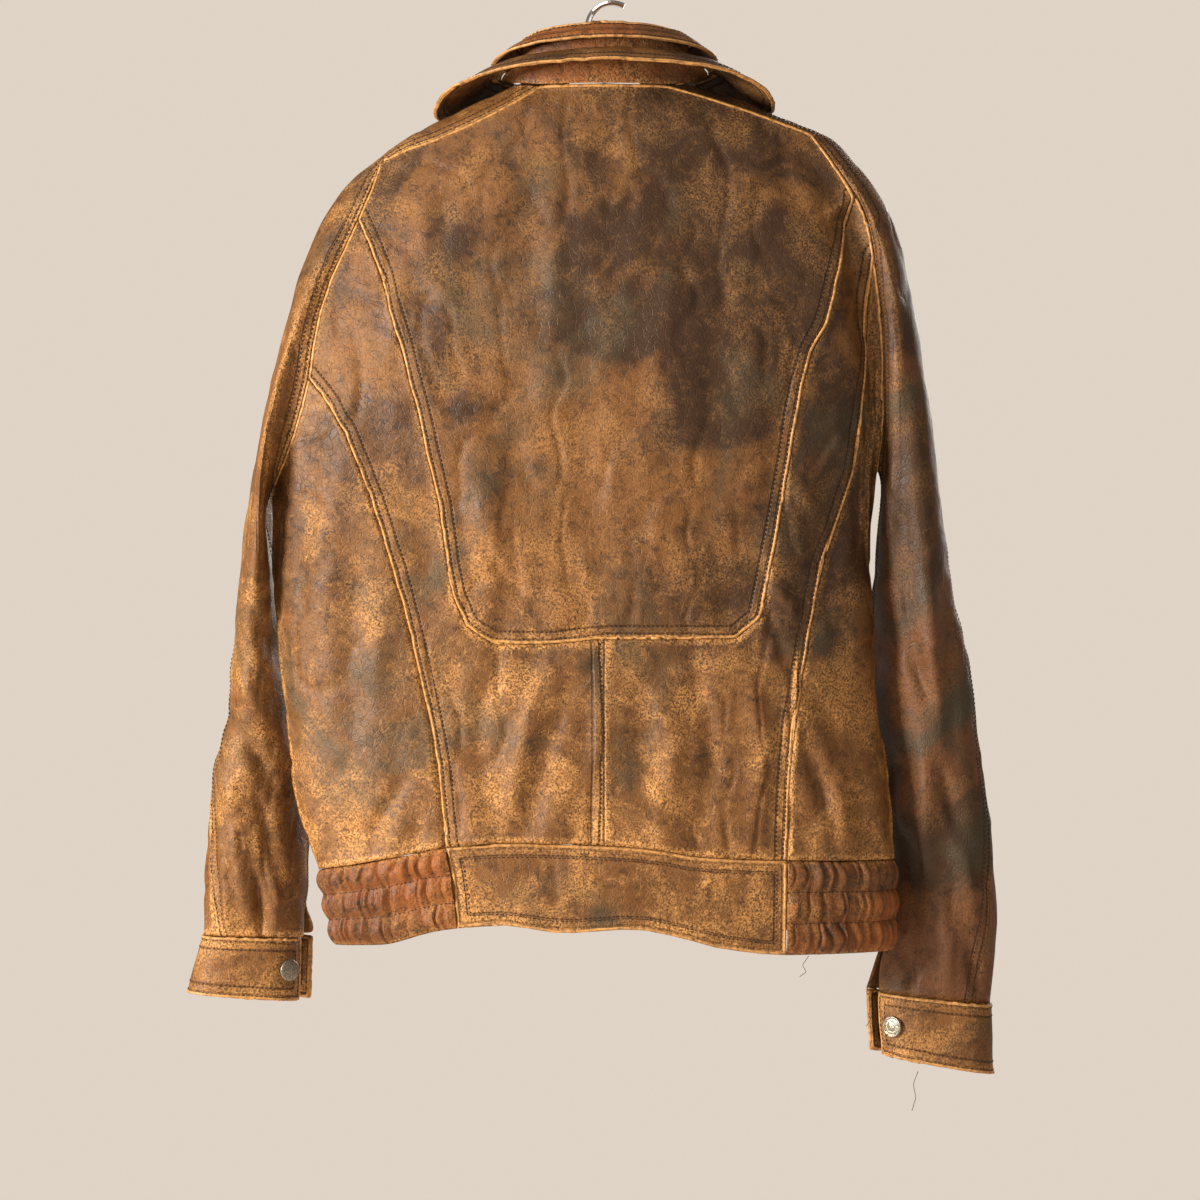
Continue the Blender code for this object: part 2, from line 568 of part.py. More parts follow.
def build_sleeve(side):
    knots = SLEEVE_LEFT if side.left else SLEEVE_RIGHT
    ring, ring_turn = armhole_ring(side)
    cut = len(side.armhole) - 1 - FRONT_COLUMNS
    at = np.linspace(0, 1, SLEEVE_ROWS + 1)[:, None]
    seam = ring_turn[cut] + (SLEEVE_SEAM_CUFF - ring_turn[cut]) * at ** 1.5
    opening = np.clip((at - PLACKET_START) / (1 - PLACKET_START), 0, 1)
    fade = np.clip(1 - at / RING_FADE, 0, 1)[..., None] ** 2

    def rows(points, turns, first, last):
        share = (turns - turns[0]) / (turns[-1] - turns[0])
        phi = first + (last - first) * share[None, :]
        shape = sleeve_rings(knots, np.broadcast_to(at, phi.shape), phi)
        start = sleeve_rings(knots, np.zeros(len(turns)), turns)
        shape = shape + fade * (points - start)[None]
        shape[0] = points
        return shape

    main = rows(ring[cut:], ring_turn[cut:], seam, math.pi - PLACKET_BACK * opening)
    under_turn = ring_turn[:cut + 1] + 2 * math.pi
    under = rows(ring[:cut + 1], under_turn, math.pi + PLACKET_UNDER * opening, seam + 2 * math.pi)
    word = "left" if side.left else "right"
    strip = []
    for back, front, top in zip(on_back(angle(side.shoulder)), on_front(angle(side.shoulder, True)),
                                side.top):
        strip.append(strip_arch(back, front, top))
    neck_angles = np.linspace(math.pi - STRIP_START, STRIP_START, STRIP_COLUMNS + 1)
    strip[-1] = neck(neck_angles if side.left else -neck_angles)
    strip = np.array(strip)
    row_count, col_count = main.shape[:2]
    faces = grid_faces(row_count, col_count, not side.left)
    base = row_count * col_count
    first = FRONT_COLUMNS
    extra = strip[1:].reshape(-1, 3)

    def strip_index(r, c):
        return first + c if r == 0 else base + (r - 1) * (STRIP_COLUMNS + 1) + c

    for r in range(len(strip) - 1):
        for c in range(STRIP_COLUMNS):
            quad = [strip_index(r + 1, c), strip_index(r, c), strip_index(r, c + 1), strip_index(r + 1, c + 1)]
            faces.append(quad if side.left else quad[::-1])
    points = np.vstack([main.reshape(-1, 3), extra])
    wall("sleeve_top_" + word, points, faces, lift=-SLEEVE_STEP)
    sheet_of("sleeve_under_" + word, under, flip=not side.left, lift=-SLEEVE_STEP)


def build_cuff(side):
    outer, inner = CUFF_LEFT if side.left else CUFF_RIGHT
    at = steps(CUFF_ROWS)[:, None]
    phi = np.linspace(-math.pi + PLACKET_UNDER, math.pi - PLACKET_BACK, CUFF_COLUMNS + 1)[None, :]
    outer = np.array(outer[0]) + (np.array(outer[1]) - outer[0]) * at[..., None]
    inner = np.array(inner[0]) + (np.array(inner[1]) - inner[0]) * at[..., None]
    turned = np.where(phi < -math.pi / 2, phi + 2 * math.pi, phi)
    shape = section(outer, inner, CUFF_HALF_DEPTH, turned + 0 * at, CUFF_SQUARENESS, 1.0)
    word = "left" if side.left else "right"
    sheet_of("cuff_" + word, shape, flip=not side.left, thickness=CUFF_LEATHER, lift=0.4)
    return shape


def disc(name, centre, normal, radius, height, colour, sides=16):
    """A domed snap piece whose flat face sits at the centre point."""
    normal = np.asarray(normal, float) / np.linalg.norm(normal)
    across = np.cross(normal, (0.0, 0.0, 1.0))
    across /= np.linalg.norm(across)
    up = np.cross(across, normal)
    rings = [(radius, 0.0), (radius, height * 0.55), (radius * 0.8, height)]
    points = []
    for r, h in rings:
        for k in range(sides):
            a = 2 * math.pi * k / sides
            points.append(centre + normal * h + (across * math.cos(a) + up * math.sin(a)) * r)
    faces = []
    for i in range(len(rings) - 1):
        for k in range(sides):
            n = (k + 1) % sides
            faces.append([i * sides + k, (i + 1) * sides + k, (i + 1) * sides + n, i * sides + n])
    faces.append(list(range(sides)))
    faces.append([2 * sides + k for k in reversed(range(sides))])
    return add_object(name, np.array(points), faces, colour, 0.35, 1.0)


def build_snaps(side, cuff):
    """The cap on the cuff's upper end and the stud on its under end."""
    word = "left" if side.left else "right"
    row = CUFF_ROWS // 2
    columns = cuff.shape[1] - 1
    for name, column, radius, height in (("snap_cap_", columns - 2, SNAP_RADIUS, SNAP_HEIGHT),
                                         ("snap_stud_", 1, STUD_RADIUS, STUD_HEIGHT)):
        middle = cuff[row, column]
        along = cuff[row, column + 1] - cuff[row, column - 1]
        down = cuff[row + 1, column] - cuff[row - 1, column]
        normal = np.cross(down, along) if side.left else np.cross(along, down)
        normal /= np.linalg.norm(normal)
        disc(name + word, middle + normal * SNAP_SEAT, normal, radius, height, SNAP_COLOUR)


def rail(shape, alpha):
    half, back, front, z_back, z_side, z_front = shape
    c = np.cos(alpha)
    x = CENTRE_X + half * np.sin(alpha)
    y = np.where(c > 0, back * c, front * c)
    z = np.where(c > 0, z_back + (z_side - z_back) * (1 - np.abs(c)) ** 1.16,
                 z_side + (z_front - z_side) * np.abs(c) ** FRONT_FALL_POWER)
    return np.stack([x, y, z - COLLAR_TILT * (x - CENTRE_X)], axis=-1)


def inset(points, distance):
    flat = points - np.array([CENTRE_X, 0, 0])
    flat[:, 2] = 0
    return points - flat / np.linalg.norm(flat, axis=1, keepdims=True) * distance


def build_collar():
    alpha = np.linspace(COLLAR_END, -COLLAR_END, COLLAR_COLUMNS + 1)
    low = neck(alpha) + np.array([0, 0, COLLAR_LIFT])
    high = rail(STAND_TOP, alpha)
    sheet_of("collar_stand", np.array([high, (high + low) / 2, low]))
    rails = [rail(shape, alpha) for shape in (FALL_UNDER, FALL_CROWN, FALL_MIDDLE, FALL_EDGE)]
    sheet_of("collar_outer", np.array(rails))
    rails = [inset(neck(alpha), INNER_INSET) + np.array([0, 0, 2.0])]
    rails += [rail(shape, alpha) for shape in (INNER_WAIST, INNER_CROWN, INNER_MIDDLE, INNER_EDGE)]
    sheet_of("collar_inner", np.array(rails))


def by_length(level_a, level_b, start, end, count):
    """Angles between two, equally spaced along the body at mid-height of a band."""
    theta = np.linspace(start, end, 400)
    points = body(theta, (level_a(theta) + level_b(theta)) / 2)
    length = np.concatenate([[0], np.cumsum(np.linalg.norm(np.diff(points, axis=0), axis=1))])
    return np.interp(np.linspace(0, length[-1], count + 1), length, theta)


def band(theta, rows):
    """Grid of the waistband between the waist seam and the hem."""
    s = np.linspace(0, 1, rows + 1)[:, None]
    top, bottom = waist_height(theta)[None] - BAND_GAP, hem_height(theta)[None]
    return body(np.broadcast_to(theta, (rows + 1, len(theta))), top + (bottom - top) * s)


def build_waist(left, right):
    tab = math.acos(FRONT_TAB / float(LEFT_WIDTH(HEM_FRONT_Z)))
    theta = by_length(waist_height, hem_height, left.waist_angle, right.waist_angle, 14)
    sheet_of("waist_back", band(theta, 3))
    theta = by_length(waist_height, hem_height, -math.pi / 2, -tab, 4)
    sheet_of("waist_front_left", band(theta, 3))
    theta = by_length(waist_height, hem_height, -math.pi + tab, -math.pi / 2, 4)
    sheet_of("waist_front_right", band(theta, 3))
    for word, start, end in (("left", -tab, left.waist_angle), ("right", right.waist_angle, math.pi + tab)):
        theta = by_length(waist_height, hem_height, start, end, 2 * RUCHES)
        points = band(theta, 2 * TIERS)
        row = np.arange(2 * TIERS + 1)[:, None] % 2
        column = np.arange(2 * RUCHES + 1)[None, :] % 2
        raised = RUCHE_HEIGHT * column * (0.4 + 0.6 * row) + TIER_BULGE * row
        sheet_of("waist_elastic_" + word, points, thickness=ELASTIC_WALL, raised=raised.reshape(-1))


def build_fly():
    top, bottom = NECK_Z - NECK_DROP - 3, HEM_FRONT_Z
    x = np.linspace(CENTRE_X + FLY_SPAN[0], CENTRE_X + FLY_SPAN[1], 4)
    z = np.linspace(top, bottom, 19)
    grid = np.stack(np.meshgrid(x, z), axis=-1)
    points = on_front(angle(grid, True))
    sheet_of("front_fly", points, lift=LEATHER + FLY_SEAT)
    for k in range(FLY_SNAPS):
        height = FLY_SNAP_TOP + k * (FLY_SNAP_BOTTOM - FLY_SNAP_TOP) / (FLY_SNAPS - 1)
        column = [(CENTRE_X + FLY_SNAP_X, height + step) for step in (SNAP_RADIUS, 0, -SNAP_RADIUS)]
        above, seat, below = on_front(angle(np.array(column), True))
        normal = np.cross((1.0, 0.0, 0.0), above - below)
        normal /= np.linalg.norm(normal)
        seat = seat + normal * (LEATHER + FLY_SEAT + SNAP_SEAT)
        disc(f"fly_snap_{k + 1}", seat, normal, SNAP_RADIUS, SNAP_HEIGHT, SNAP_COLOUR)


def build_hanger():
    """A plain shoulder bar under the strips, and the wire hook."""
    line = pchip([(z, x) for x, z in TOP_LEFT[::-1]] + [(z, x) for x, z in TOP_RIGHT]
                 + BAR_HUMP)
    x = np.linspace(CENTRE_X - BAR_HALF_LENGTH, CENTRE_X + BAR_HALF_LENGTH, 27)
    ends = np.sqrt(np.clip(1 - (np.abs(x - CENTRE_X) / (BAR_HALF_LENGTH + 0.5)) ** 12, 0.05, 1))
    points, faces, sides = [], [], 10
    for station, size in zip(x, ends):
        for k in range(sides):
            a = 2 * math.pi * k / sides
            points.append((station, BAR_HALF_WIDTH * size * math.cos(a),
                           line(station) - BAR_CLEARANCE - BAR_HALF_HEIGHT
                           + BAR_HALF_HEIGHT * size * math.sin(a)))
    for i in range(len(x) - 1):
        for k in range(sides):
            n = (k + 1) % sides
            faces.append([i * sides + k, i * sides + n, (i + 1) * sides + n, (i + 1) * sides + k])
    faces.append([k for k in reversed(range(sides))])
    faces.append([(len(x) - 1) * sides + k for k in range(sides)])
    add_object("hanger", points, faces, BAR_COLOUR, 0.45)
    top = float(line(CENTRE_X)) - BAR_CLEARANCE
    build_hook(top + 0.3)


def build_hook(foot):
    turn = np.radians(np.linspace(*HOOK_SWEEP, 22))
    centre = HOOK_WIRE - HOOK_RADIUS
    stem = [(CENTRE_X, foot), (CENTRE_X, foot + 12)]
    route = np.vstack([stem, np.stack([HOOK_RADIUS * np.cos(turn), centre + HOOK_RADIUS * np.sin(turn)], axis=-1)])
    curve = bpy.data.curves.new("hanger_hook", "CURVE")
    curve.dimensions = "3D"
    curve.bevel_depth = HOOK_WIRE * MM
    curve.bevel_resolution = 2
    curve.use_fill_caps = True
    line = curve.splines.new("POLY")
    points = spline(route, np.linspace(0, 1, 34))
    line.points.add(len(points) - 1)
    for point, (x, z) in zip(line.points, points):
        point.co = (x * MM, 0, z * MM, 1)
    obj = bpy.data.objects.new("hanger_hook", curve)
    bpy.context.scene.collection.objects.link(obj)
    material = bpy.data.materials.new("hanger_hook")
    material.use_nodes = True
    shader = material.node_tree.nodes["Principled BSDF"]
    shader.inputs["Base Color"].default_value = (*HOOK_COLOUR, 1)
    shader.inputs["Metallic"].default_value = 1.0
    shader.inputs["Roughness"].default_value = 0.2
    curve.materials.append(material)


waist_height = around(WAIST, WAIST_FRONT_Z)
hem_height = around(HEM, HEM_FRONT_Z)


def build_jacket():
    clear_scene()
    left, right = Outline(True), Outline(False)
    build_back(left, right)
    for side in (left, right):
        build_front(side)
        build_sleeve(side)
        build_snaps(side, build_cuff(side))
    build_collar()
    build_waist(left, right)
    build_fly()
    build_hanger()


build_jacket()
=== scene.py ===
"""Worn leather jacket on a hanger: leather shells, seams, stitches and snaps over the jacket's solids."""

import itertools
import math

import bmesh
import bpy
import numpy as np
from bpy.props import FloatProperty, FloatVectorProperty, IntProperty, PointerProperty
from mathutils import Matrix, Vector
from mathutils.kdtree import KDTree


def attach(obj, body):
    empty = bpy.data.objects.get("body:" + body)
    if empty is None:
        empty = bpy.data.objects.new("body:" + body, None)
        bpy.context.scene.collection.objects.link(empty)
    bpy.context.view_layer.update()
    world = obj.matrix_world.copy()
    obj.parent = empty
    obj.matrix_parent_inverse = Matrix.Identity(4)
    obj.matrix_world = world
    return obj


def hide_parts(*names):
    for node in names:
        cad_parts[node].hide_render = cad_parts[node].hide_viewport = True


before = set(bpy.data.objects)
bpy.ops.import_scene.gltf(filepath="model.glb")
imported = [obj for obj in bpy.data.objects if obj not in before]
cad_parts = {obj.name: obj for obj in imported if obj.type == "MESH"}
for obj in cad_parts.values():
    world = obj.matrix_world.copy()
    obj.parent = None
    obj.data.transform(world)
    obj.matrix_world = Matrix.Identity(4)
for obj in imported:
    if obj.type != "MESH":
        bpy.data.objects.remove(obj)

bl_info = {
    "name": "Worn Leather Jacket",
    "version": (1, 0, 0),
    "blender": (4, 5, 0),
    "location": "View3D > Sidebar > Jacket",
    "description": "Dresses a hollow jacket with creased leather, seams, stitches and snaps",
    "category": "Object",
}

# Everything between here and the operators is in mm, unless it says otherwise.
MM = 0.001
OUTER, INNER, RIM = 0, 1, 2
SHARP = math.radians(55)
RUCHE_SHARP = math.radians(74)
CHEST_X = 6.0
HALF_WIDTH = 230.0
HALF_DEPTH = 72.0
NECK_CENTRE = (6.0, 0.0, -92.0)
HEM_Z = -664
FAR = 99.0

TORSO = ["back_center", "back_lower_left", "back_lower_right", "back_side_left", "back_side_right",
         "front_left", "front_right", "front_fly"]
SLEEVES = ["sleeve_top_left", "sleeve_under_left", "sleeve_top_right", "sleeve_under_right"]
CUFFS = ["cuff_left", "cuff_right"]
COLLARS = ["collar_outer", "collar_stand", "collar_inner"]
BANDS = ["waist_back", "waist_front_left", "waist_front_right"]
ELASTICS = ["waist_elastic_left", "waist_elastic_right"]
RUCHES = 30
RUCHE_HEIGHT = 3.4
TIERS = 3
FOLD_DEPTH = 2.0
GATHER_TOP = 34.0
GATHER_HEIGHT = 1.7
# How near two cut edges lie along a seam, and how far off an edge counts as free.
SEAM_REACH = 2.2
FREE_REACH = 3.0
# Seams to other groups of pieces stay still, and the folds grow to full height over this distance.
STILL_REACH = 4.0
STILL_WIDTH = 14.0
# Where the leather is drawn down along its two rows of stitches, and darkened there as painted shade.
ROW_INSETS = (8.6, 2.9)

# Rows of stitches: the panel that carries them, the pieces whose seam they follow, and how far in, in mm.
FREE = "free edge"
ANY = "any edge"
STITCHED = [
    ("back_center", ("back_lower_left", "back_lower_right", "back_side_left", "back_side_right"), (2.7, 8.6)),
    ("back_lower_left", ("back_side_left",), (2.7, 8.6)),
    ("back_lower_right", ("back_side_right",), (2.7, 8.6)),
    ("back_lower_left", ("back_lower_right",), (3.0,)),
    ("sleeve_top_left", ("back_center", "back_lower_left", "back_side_left", "front_left"), (2.7, 8.0)),
    ("sleeve_top_right", ("back_center", "back_lower_right", "back_side_right", "front_right"), (2.7, 8.0)),
    ("sleeve_under_left", ("back_side_left", "front_left"), (2.7,)),
    ("sleeve_under_right", ("back_side_right", "front_right"), (2.7,)),
    ("sleeve_top_left", ("sleeve_under_left",), (2.7, 7.5)),
    ("sleeve_top_right", ("sleeve_under_right",), (2.7, 7.5)),
    ("cuff_left", (ANY,), (2.4, 8.6)), ("cuff_right", (ANY,), (2.4, 8.6)),
    ("collar_outer", (FREE,), (2.7, 8.6)), ("collar_inner", (FREE,), (3.0,)),
    ("waist_back", (ANY,), (7.6, 9.6)),
    ("waist_front_left", (ANY,), (6.5,)), ("waist_front_right", (ANY,), (6.5,)),
    ("front_fly", (FREE,), (3.0, 8.0)),
]
# Panels whose seam edge is rolled over a piping, with the pieces along it.
PIPED = [
    ("back_center", ("back_lower_left", "back_lower_right", "back_side_left", "back_side_right",
                     "sleeve_top_left", "sleeve_top_right", "collar_stand")),
    ("back_lower_left", ("back_side_left", "sleeve_top_left")),
    ("back_lower_right", ("back_side_right", "sleeve_top_right")),
    ("back_side_left", ("sleeve_top_left", "sleeve_under_left")),
    ("back_side_right", ("sleeve_top_right", "sleeve_under_right")),
    ("front_left", ("sleeve_top_left", "sleeve_under_left")),
    ("front_right", ("sleeve_top_right", "sleeve_under_right")),
    ("collar_outer", (FREE,)), ("collar_inner", (FREE,)),
    ("cuff_left", (ANY,)), ("cuff_right", (ANY,)), ("waist_back", (ANY,)),
]

# Soft folds as lines of x and z in mm seen from the back, their half width, and their rise or fall.
BACK_FOLDS = [
    ([(132, -150), (132, -190)], 7, -1.2), ([(139, -219), (131, -232), (123, -240)], 6, 2.0),
    ([(66, -130), (60, -240)], 14, -2.2), ([(46, -140), (44, -260)], 12, 1.6),
    ([(103, -340), (90, -410), (80, -470)], 14, 3.2), ([(120, -380), (104, -470)], 9, -2.0),
    ([(103, -421), (84, -450), (64, -468)], 5, -1.8), ([(28, -300), (20, -470)], 20, -2.2),
    ([(-20, -120), (-60, -330)], 24, 2.2), ([(-90, -140), (-70, -400)], 20, -2.4),
    ([(-110, -250), (-96, -440)], 14, 2.0), ([(-138, -368), (-163, -413)], 6, 1.8),
    ([(-125, -453), (-145, -487)], 6, 2.2), ([(-119, -469), (-137, -523)], 5, -2.0),
    ([(33, -530), (52, -590), (64, -650)], 9, -2.6), ([(52, -520), (72, -590), (80, -655)], 9, 3.2),
    ([(92, -515), (104, -560), (98, -640)], 9, -2.2), ([(-30, -520), (-48, -580), (-40, -655)], 10, 2.8),
    ([(-62, -515), (-80, -590), (-66, -655)], 9, -2.8), ([(-98, -510), (-118, -580), (-110, -655)], 9, 2.8),
    ([(12, -520), (10, -650)], 7, 1.6), ([(189, -668), (187, -650), (175, -628), (160, -605)], 5, -3.2),
    ([(204, -668), (200, -640)], 5, -2.4), ([(150, -668), (152, -640)], 5, -2.2),
    ([(168, -664), (164, -632)], 6, 2.2), ([(-158, -569), (-176, -613), (-178, -660)], 7, 3.0),
    ([(-176, -664), (-173, -642), (-163, -616), (-152, -590), (-147, -562)], 5, -3.2),
    ([(-196, -664), (-194, -620)], 6, -2.6), ([(-212, -664), (-206, -610)], 7, 2.4),
    ([(214, -340), (222, -420), (226, -520)], 12, 2.6), ([(196, -420), (206, -520), (200, -600)], 10, -2.2),
    ([(176, -470), (184, -560)], 8, 1.8), ([(-182, -420), (-196, -520)], 8, 2.2),
    ([(160, -210), (180, -300)], 8, 1.6), ([(-128, -120), (-150, -170)], 9, -1.8),
]
FRONT_FOLDS = [
    ([(140, -200), (120, -330)], 14, -2.4), ([(100, -180), (90, -420)], 20, 2.6),
    ([(60, -200), (52, -420)], 14, -2.0), ([(160, -420), (140, -560), (150, -660)], 12, 2.8),
    ([(110, -480), (100, -600), (112, -664)], 9, -2.8), ([(70, -500), (62, -664)], 10, 2.4),
    ([(190, -560), (184, -664)], 7, -2.8), ([(-60, -180), (-72, -420)], 18, 2.6),
    ([(-110, -200), (-100, -400)], 16, -2.6), ([(-140, -300), (-124, -480)], 11, 2.2),
    ([(-60, -480), (-52, -664)], 10, -2.4), ([(-100, -500), (-92, -664)], 9, 2.6),
    ([(-140, -540), (-146, -664)], 8, -2.8), ([(-176, -560), (-182, -664)], 7, 2.4),
]
SLEEVE_FOLDS = [
    ([(262, -300), (282, -420), (290, -520)], 12, 3.0), ([(246, -330), (262, -450)], 9, -3.0),
    ([(284, -470), (262, -520)], 7, -3.2), ([(300, -520), (272, -560)], 8, 2.8),
    ([(306, -560), (280, -590), (268, -620)], 7, -3.4), ([(312, -600), (292, -640)], 8, 2.8),
    ([(280, -620), (266, -680)], 6, -2.6), ([(300, -640), (290, -720)], 7, 2.4),
    ([(281, -690), (277, -735)], 4, -3.2), ([(320, -640), (316, -724)], 6, -2.6),
    ([(270, -690), (264, -735)], 5, 1.8), ([(308, -680), (304, -734)], 5, 2.0),
    ([(-222, -250), (-226, -400), (-238, -520)], 9, -3.2), ([(-246, -400), (-252, -560)], 10, 2.8),
    ([(-262, -440), (-270, -600)], 9, -2.6), ([(-236, -500), (-252, -560)], 7, -2.8),
    ([(-245, -590), (-247, -680)], 8, 3.2), ([(-258, -600), (-276, -660)], 7, -3.0),
    ([(-270, -640), (-286, -720)], 8, 2.6), ([(-232, -660), (-240, -760)], 8, -2.6),
    ([(-232, -748), (-237, -778)], 4, -2.6), ([(-262, -700), (-266, -780)], 7, 2.4),
    ([(-282, -740), (-296, -784)], 6, -3.0),
]
LOOSE_THREADS = [
    [(-153, 37, -745), (-148, 39, -752), (-151, 41, -757), (-146, 38, -761)],
    [(-212, -38, -793), (-208, -36, -799), (-204, -35, -806), (-203, -38, -808)],
    [(-243, -22, -842), (-239, -20, -852), (-241, -18, -862), (-238, -20, -873)],
]

# Each leather: its main colour, how rubbed and how darkened it is, and how much it is lightened at its top
# and at its foot, partly real fading and partly painted light.
LEATHERS = {
    "Body leather": ("brown", 1.0, 1.0, (0.0, 0.95)),
    # The left sleeve is lighter and the right sleeve darker: partly painted light and painted shade from the
    # +x side, partly their own tone.
    "Left sleeve leather": ("brown", 1.0, 0.7, (0.45, 0.9)),
    "Right sleeve leather": ("sleeve", 0.45, 1.3, (0.25, 0.0)),
    "Cuff leather": ("brown", 1.1, 0.6, (0.6, 0.6)),
    "Red leather": ("red", 0.55, 0.75, (0.35, 0.35)),
}
# A snap's half section: radius and height as shares of the disc, from its flat back to its domed middle.
SNAP_PROFILE = [(0.9, 0), (1.0, 0.12), (1.0, 0.42), (0.96, 0.72), (0.88, 0.84), (0.8, 0.72), (0.76, 0.56),
                (0.7, 0.62), (0.52, 0.9), (0.47, 0.78), (0.42, 0.9), (0.2, 0.99)]
SNAP_SIDES = 40
BEADED = 0.7
BEADS = 10

# Studio, in metres and watts: each light's name, place, power and size.
LIGHTS = (("Key", (2.0, 1.25, -0.15), 92.0, 0.6), ("Fill", (-1.3, 2.2, 0.1), 9.0, 1.4),
          ("Front", (-0.9, -2.2, 0.3), 34.0, 1.3), ("Top", (0.6, 0.9, 1.3), 9.0, 0.8))
LIGHT_COLOUR = (1.0, 0.95, 0.88)
LIT_POINT = (0.0, 0.0, -0.45)
WORLD_LIGHT, WORLD_SEEN = 0.3, 0.86
VIEW_CENTRE = (0.0094, 0.03, -0.468)
VIEW_WIDTH = 0.936
CAMERA_DISTANCE = 3.0
SENSOR_WIDTH = 36.0
FLOOR_RADIUS, FLOOR_Z = 2.2, -1.3


class JacketSettings(bpy.types.PropertyGroup):
    """Sizes and colours of the leather and its trim."""
    fineness: IntProperty(name="Fineness", description="Subdivisions of each leather panel",
                          default=3, min=1, max=4)
    wrinkle: FloatProperty(name="Wrinkles", description="Height of the small wrinkles over the whole leather",
                           default=0.0021, unit="LENGTH")
    stitch_pitch: FloatProperty(name="Stitch Pitch", description="Distance from one stitch to the next",
                                default=0.0036, unit="LENGTH")
    stitch_length: FloatProperty(name="Stitch Length", description="Length of one stitch that shows",
                                 default=0.0027, unit="LENGTH")
    thread: FloatProperty(name="Thread", description="Thickness of the sewing thread",
                          default=0.0007, unit="LENGTH")
    piping: FloatProperty(name="Piping", description="Thickness of the rolled seam edges",
                          default=0.0023, unit="LENGTH")
    brown: FloatVectorProperty(name="Brown", description="Main leather colour", subtype="COLOR",
                               default=(0.2, 0.082, 0.021), min=0, max=1)
    # Dark also gives the painted shade in the stitch-row grooves.
    dark: FloatVectorProperty(name="Dark", description="Darkened patches", subtype="COLOR",
                              default=(0.05, 0.021, 0.007), min=0, max=1)
    tan: FloatVectorProperty(name="Tan", description="Rubbed leather", subtype="COLOR",
                             default=(0.62, 0.3, 0.088), min=0, max=1)
    grime: FloatVectorProperty(name="Grime", description="Grey-green soiling", subtype="COLOR",
                               default=(0.062, 0.05, 0.026), min=0, max=1)
    # Sleeve is used only by the right sleeve; its darker tone is partly painted shade.
    sleeve: FloatVectorProperty(name="Sleeve", description="Main colour of the sleeves", subtype="COLOR",
                                default=(0.15, 0.058, 0.02), min=0, max=1)
    red: FloatVectorProperty(name="Red Brown", description="Less worn leather of collar and hem sides",
                             subtype="COLOR", default=(0.27, 0.078, 0.013), min=0, max=1)
    flesh: FloatVectorProperty(name="Flesh Side", description="Suede inside of the leather", subtype="COLOR",
                               default=(0.12, 0.062, 0.03), min=0, max=1)
    thread_colour: FloatVectorProperty(name="Thread Colour", description="Colour of the stitches",
                                       subtype="COLOR", default=(0.03, 0.012, 0.006), min=0, max=1)
    backdrop: FloatVectorProperty(name="Backdrop", description="Pale studio colour", subtype="COLOR",
                                  default=(0.86, 0.76, 0.66), min=0, max=1)


def select_only(obj):
    bpy.ops.object.select_all(action="DESELECT")
    obj.select_set(True)
    bpy.context.view_layer.objects.active = obj


def points_of(mesh):
    points = np.empty(len(mesh.vertices) * 3, np.float32)
    mesh.vertices.foreach_get("co", points)
    return points.reshape(-1, 3).astype(float)


def normals_of(mesh):
    normals = np.empty(len(mesh.vertices) * 3, np.float32)
    mesh.vertices.foreach_get("normal", normals)
    return normals.reshape(-1, 3).astype(float)


def smooth_noise(points, size, seed=0):
    """Soft noise from -1 to 1 whose waves are about size long; size may differ along x, y and z."""
    at = points / np.asarray(size, float)
    cell = np.floor(at).astype(np.int64)
    part = at - cell
    part = part * part * (3 - 2 * part)
    total = np.zeros(len(points))
    for corner in itertools.product((0, 1), repeat=3):
        weight = np.prod(np.where(corner, part, 1 - part), axis=1)
        spot = cell + np.array(corner)
        mixed = spot[:, 0] * 73856093 ^ spot[:, 1] * 19349663 ^ spot[:, 2] * 83492791 ^ (seed + 1) * 26544357
        mixed = ((mixed ^ (mixed >> 13)) * 1274126177) & 0xFFFFFFFF
        total += weight * (((mixed ^ (mixed >> 15)) & 0xFFFF) / 65535.0)
    return 2 * total - 1


def sleeve_centres():
    """For each side, the middle of the sleeve at a row of heights, in mm."""
    centres = {}
    for side in ("left", "right"):
        cloud = np.vstack([points_of(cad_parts[name + side].data)
                           for name in ("sleeve_top_", "sleeve_under_", "cuff_")]) / MM
        heights = np.arange(-850.0, -199.0, 25.0)
        rows = []
        for height in heights:
            near = cloud[np.abs(cloud[:, 2] - height) < 30]
            if len(near) < 4:
                near = cloud[np.argsort(np.abs(cloud[:, 2] - height))[:12]]
            rows.append((near.min(axis=0) + near.max(axis=0))[:2] / 2)
        centres[side] = heights, np.array(rows)
    return centres


CENTRES = sleeve_centres()


def outward(node, points):
    """The way out of the garment at points in mm."""
    if node in SLEEVES or node in CUFFS:
        heights, rows = CENTRES["left" if node.endswith("left") else "right"]
        level = np.minimum(points[:, 2], heights[-1])
        across, deep = (np.interp(level, heights, rows[:, k]) for k in (0, 1))
        way = points - np.stack([across, deep, level], axis=1)
    elif node in COLLARS:
        way = points - np.array(NECK_CENTRE)
    else:
        way = np.stack([(points[:, 0] - CHEST_X) / HALF_WIDTH ** 2, points[:, 1] / HALF_DEPTH ** 2,
                        np.zeros(len(points))], axis=1)
    return way / np.maximum(np.linalg.norm(way, axis=1, keepdims=True), 1e-9)


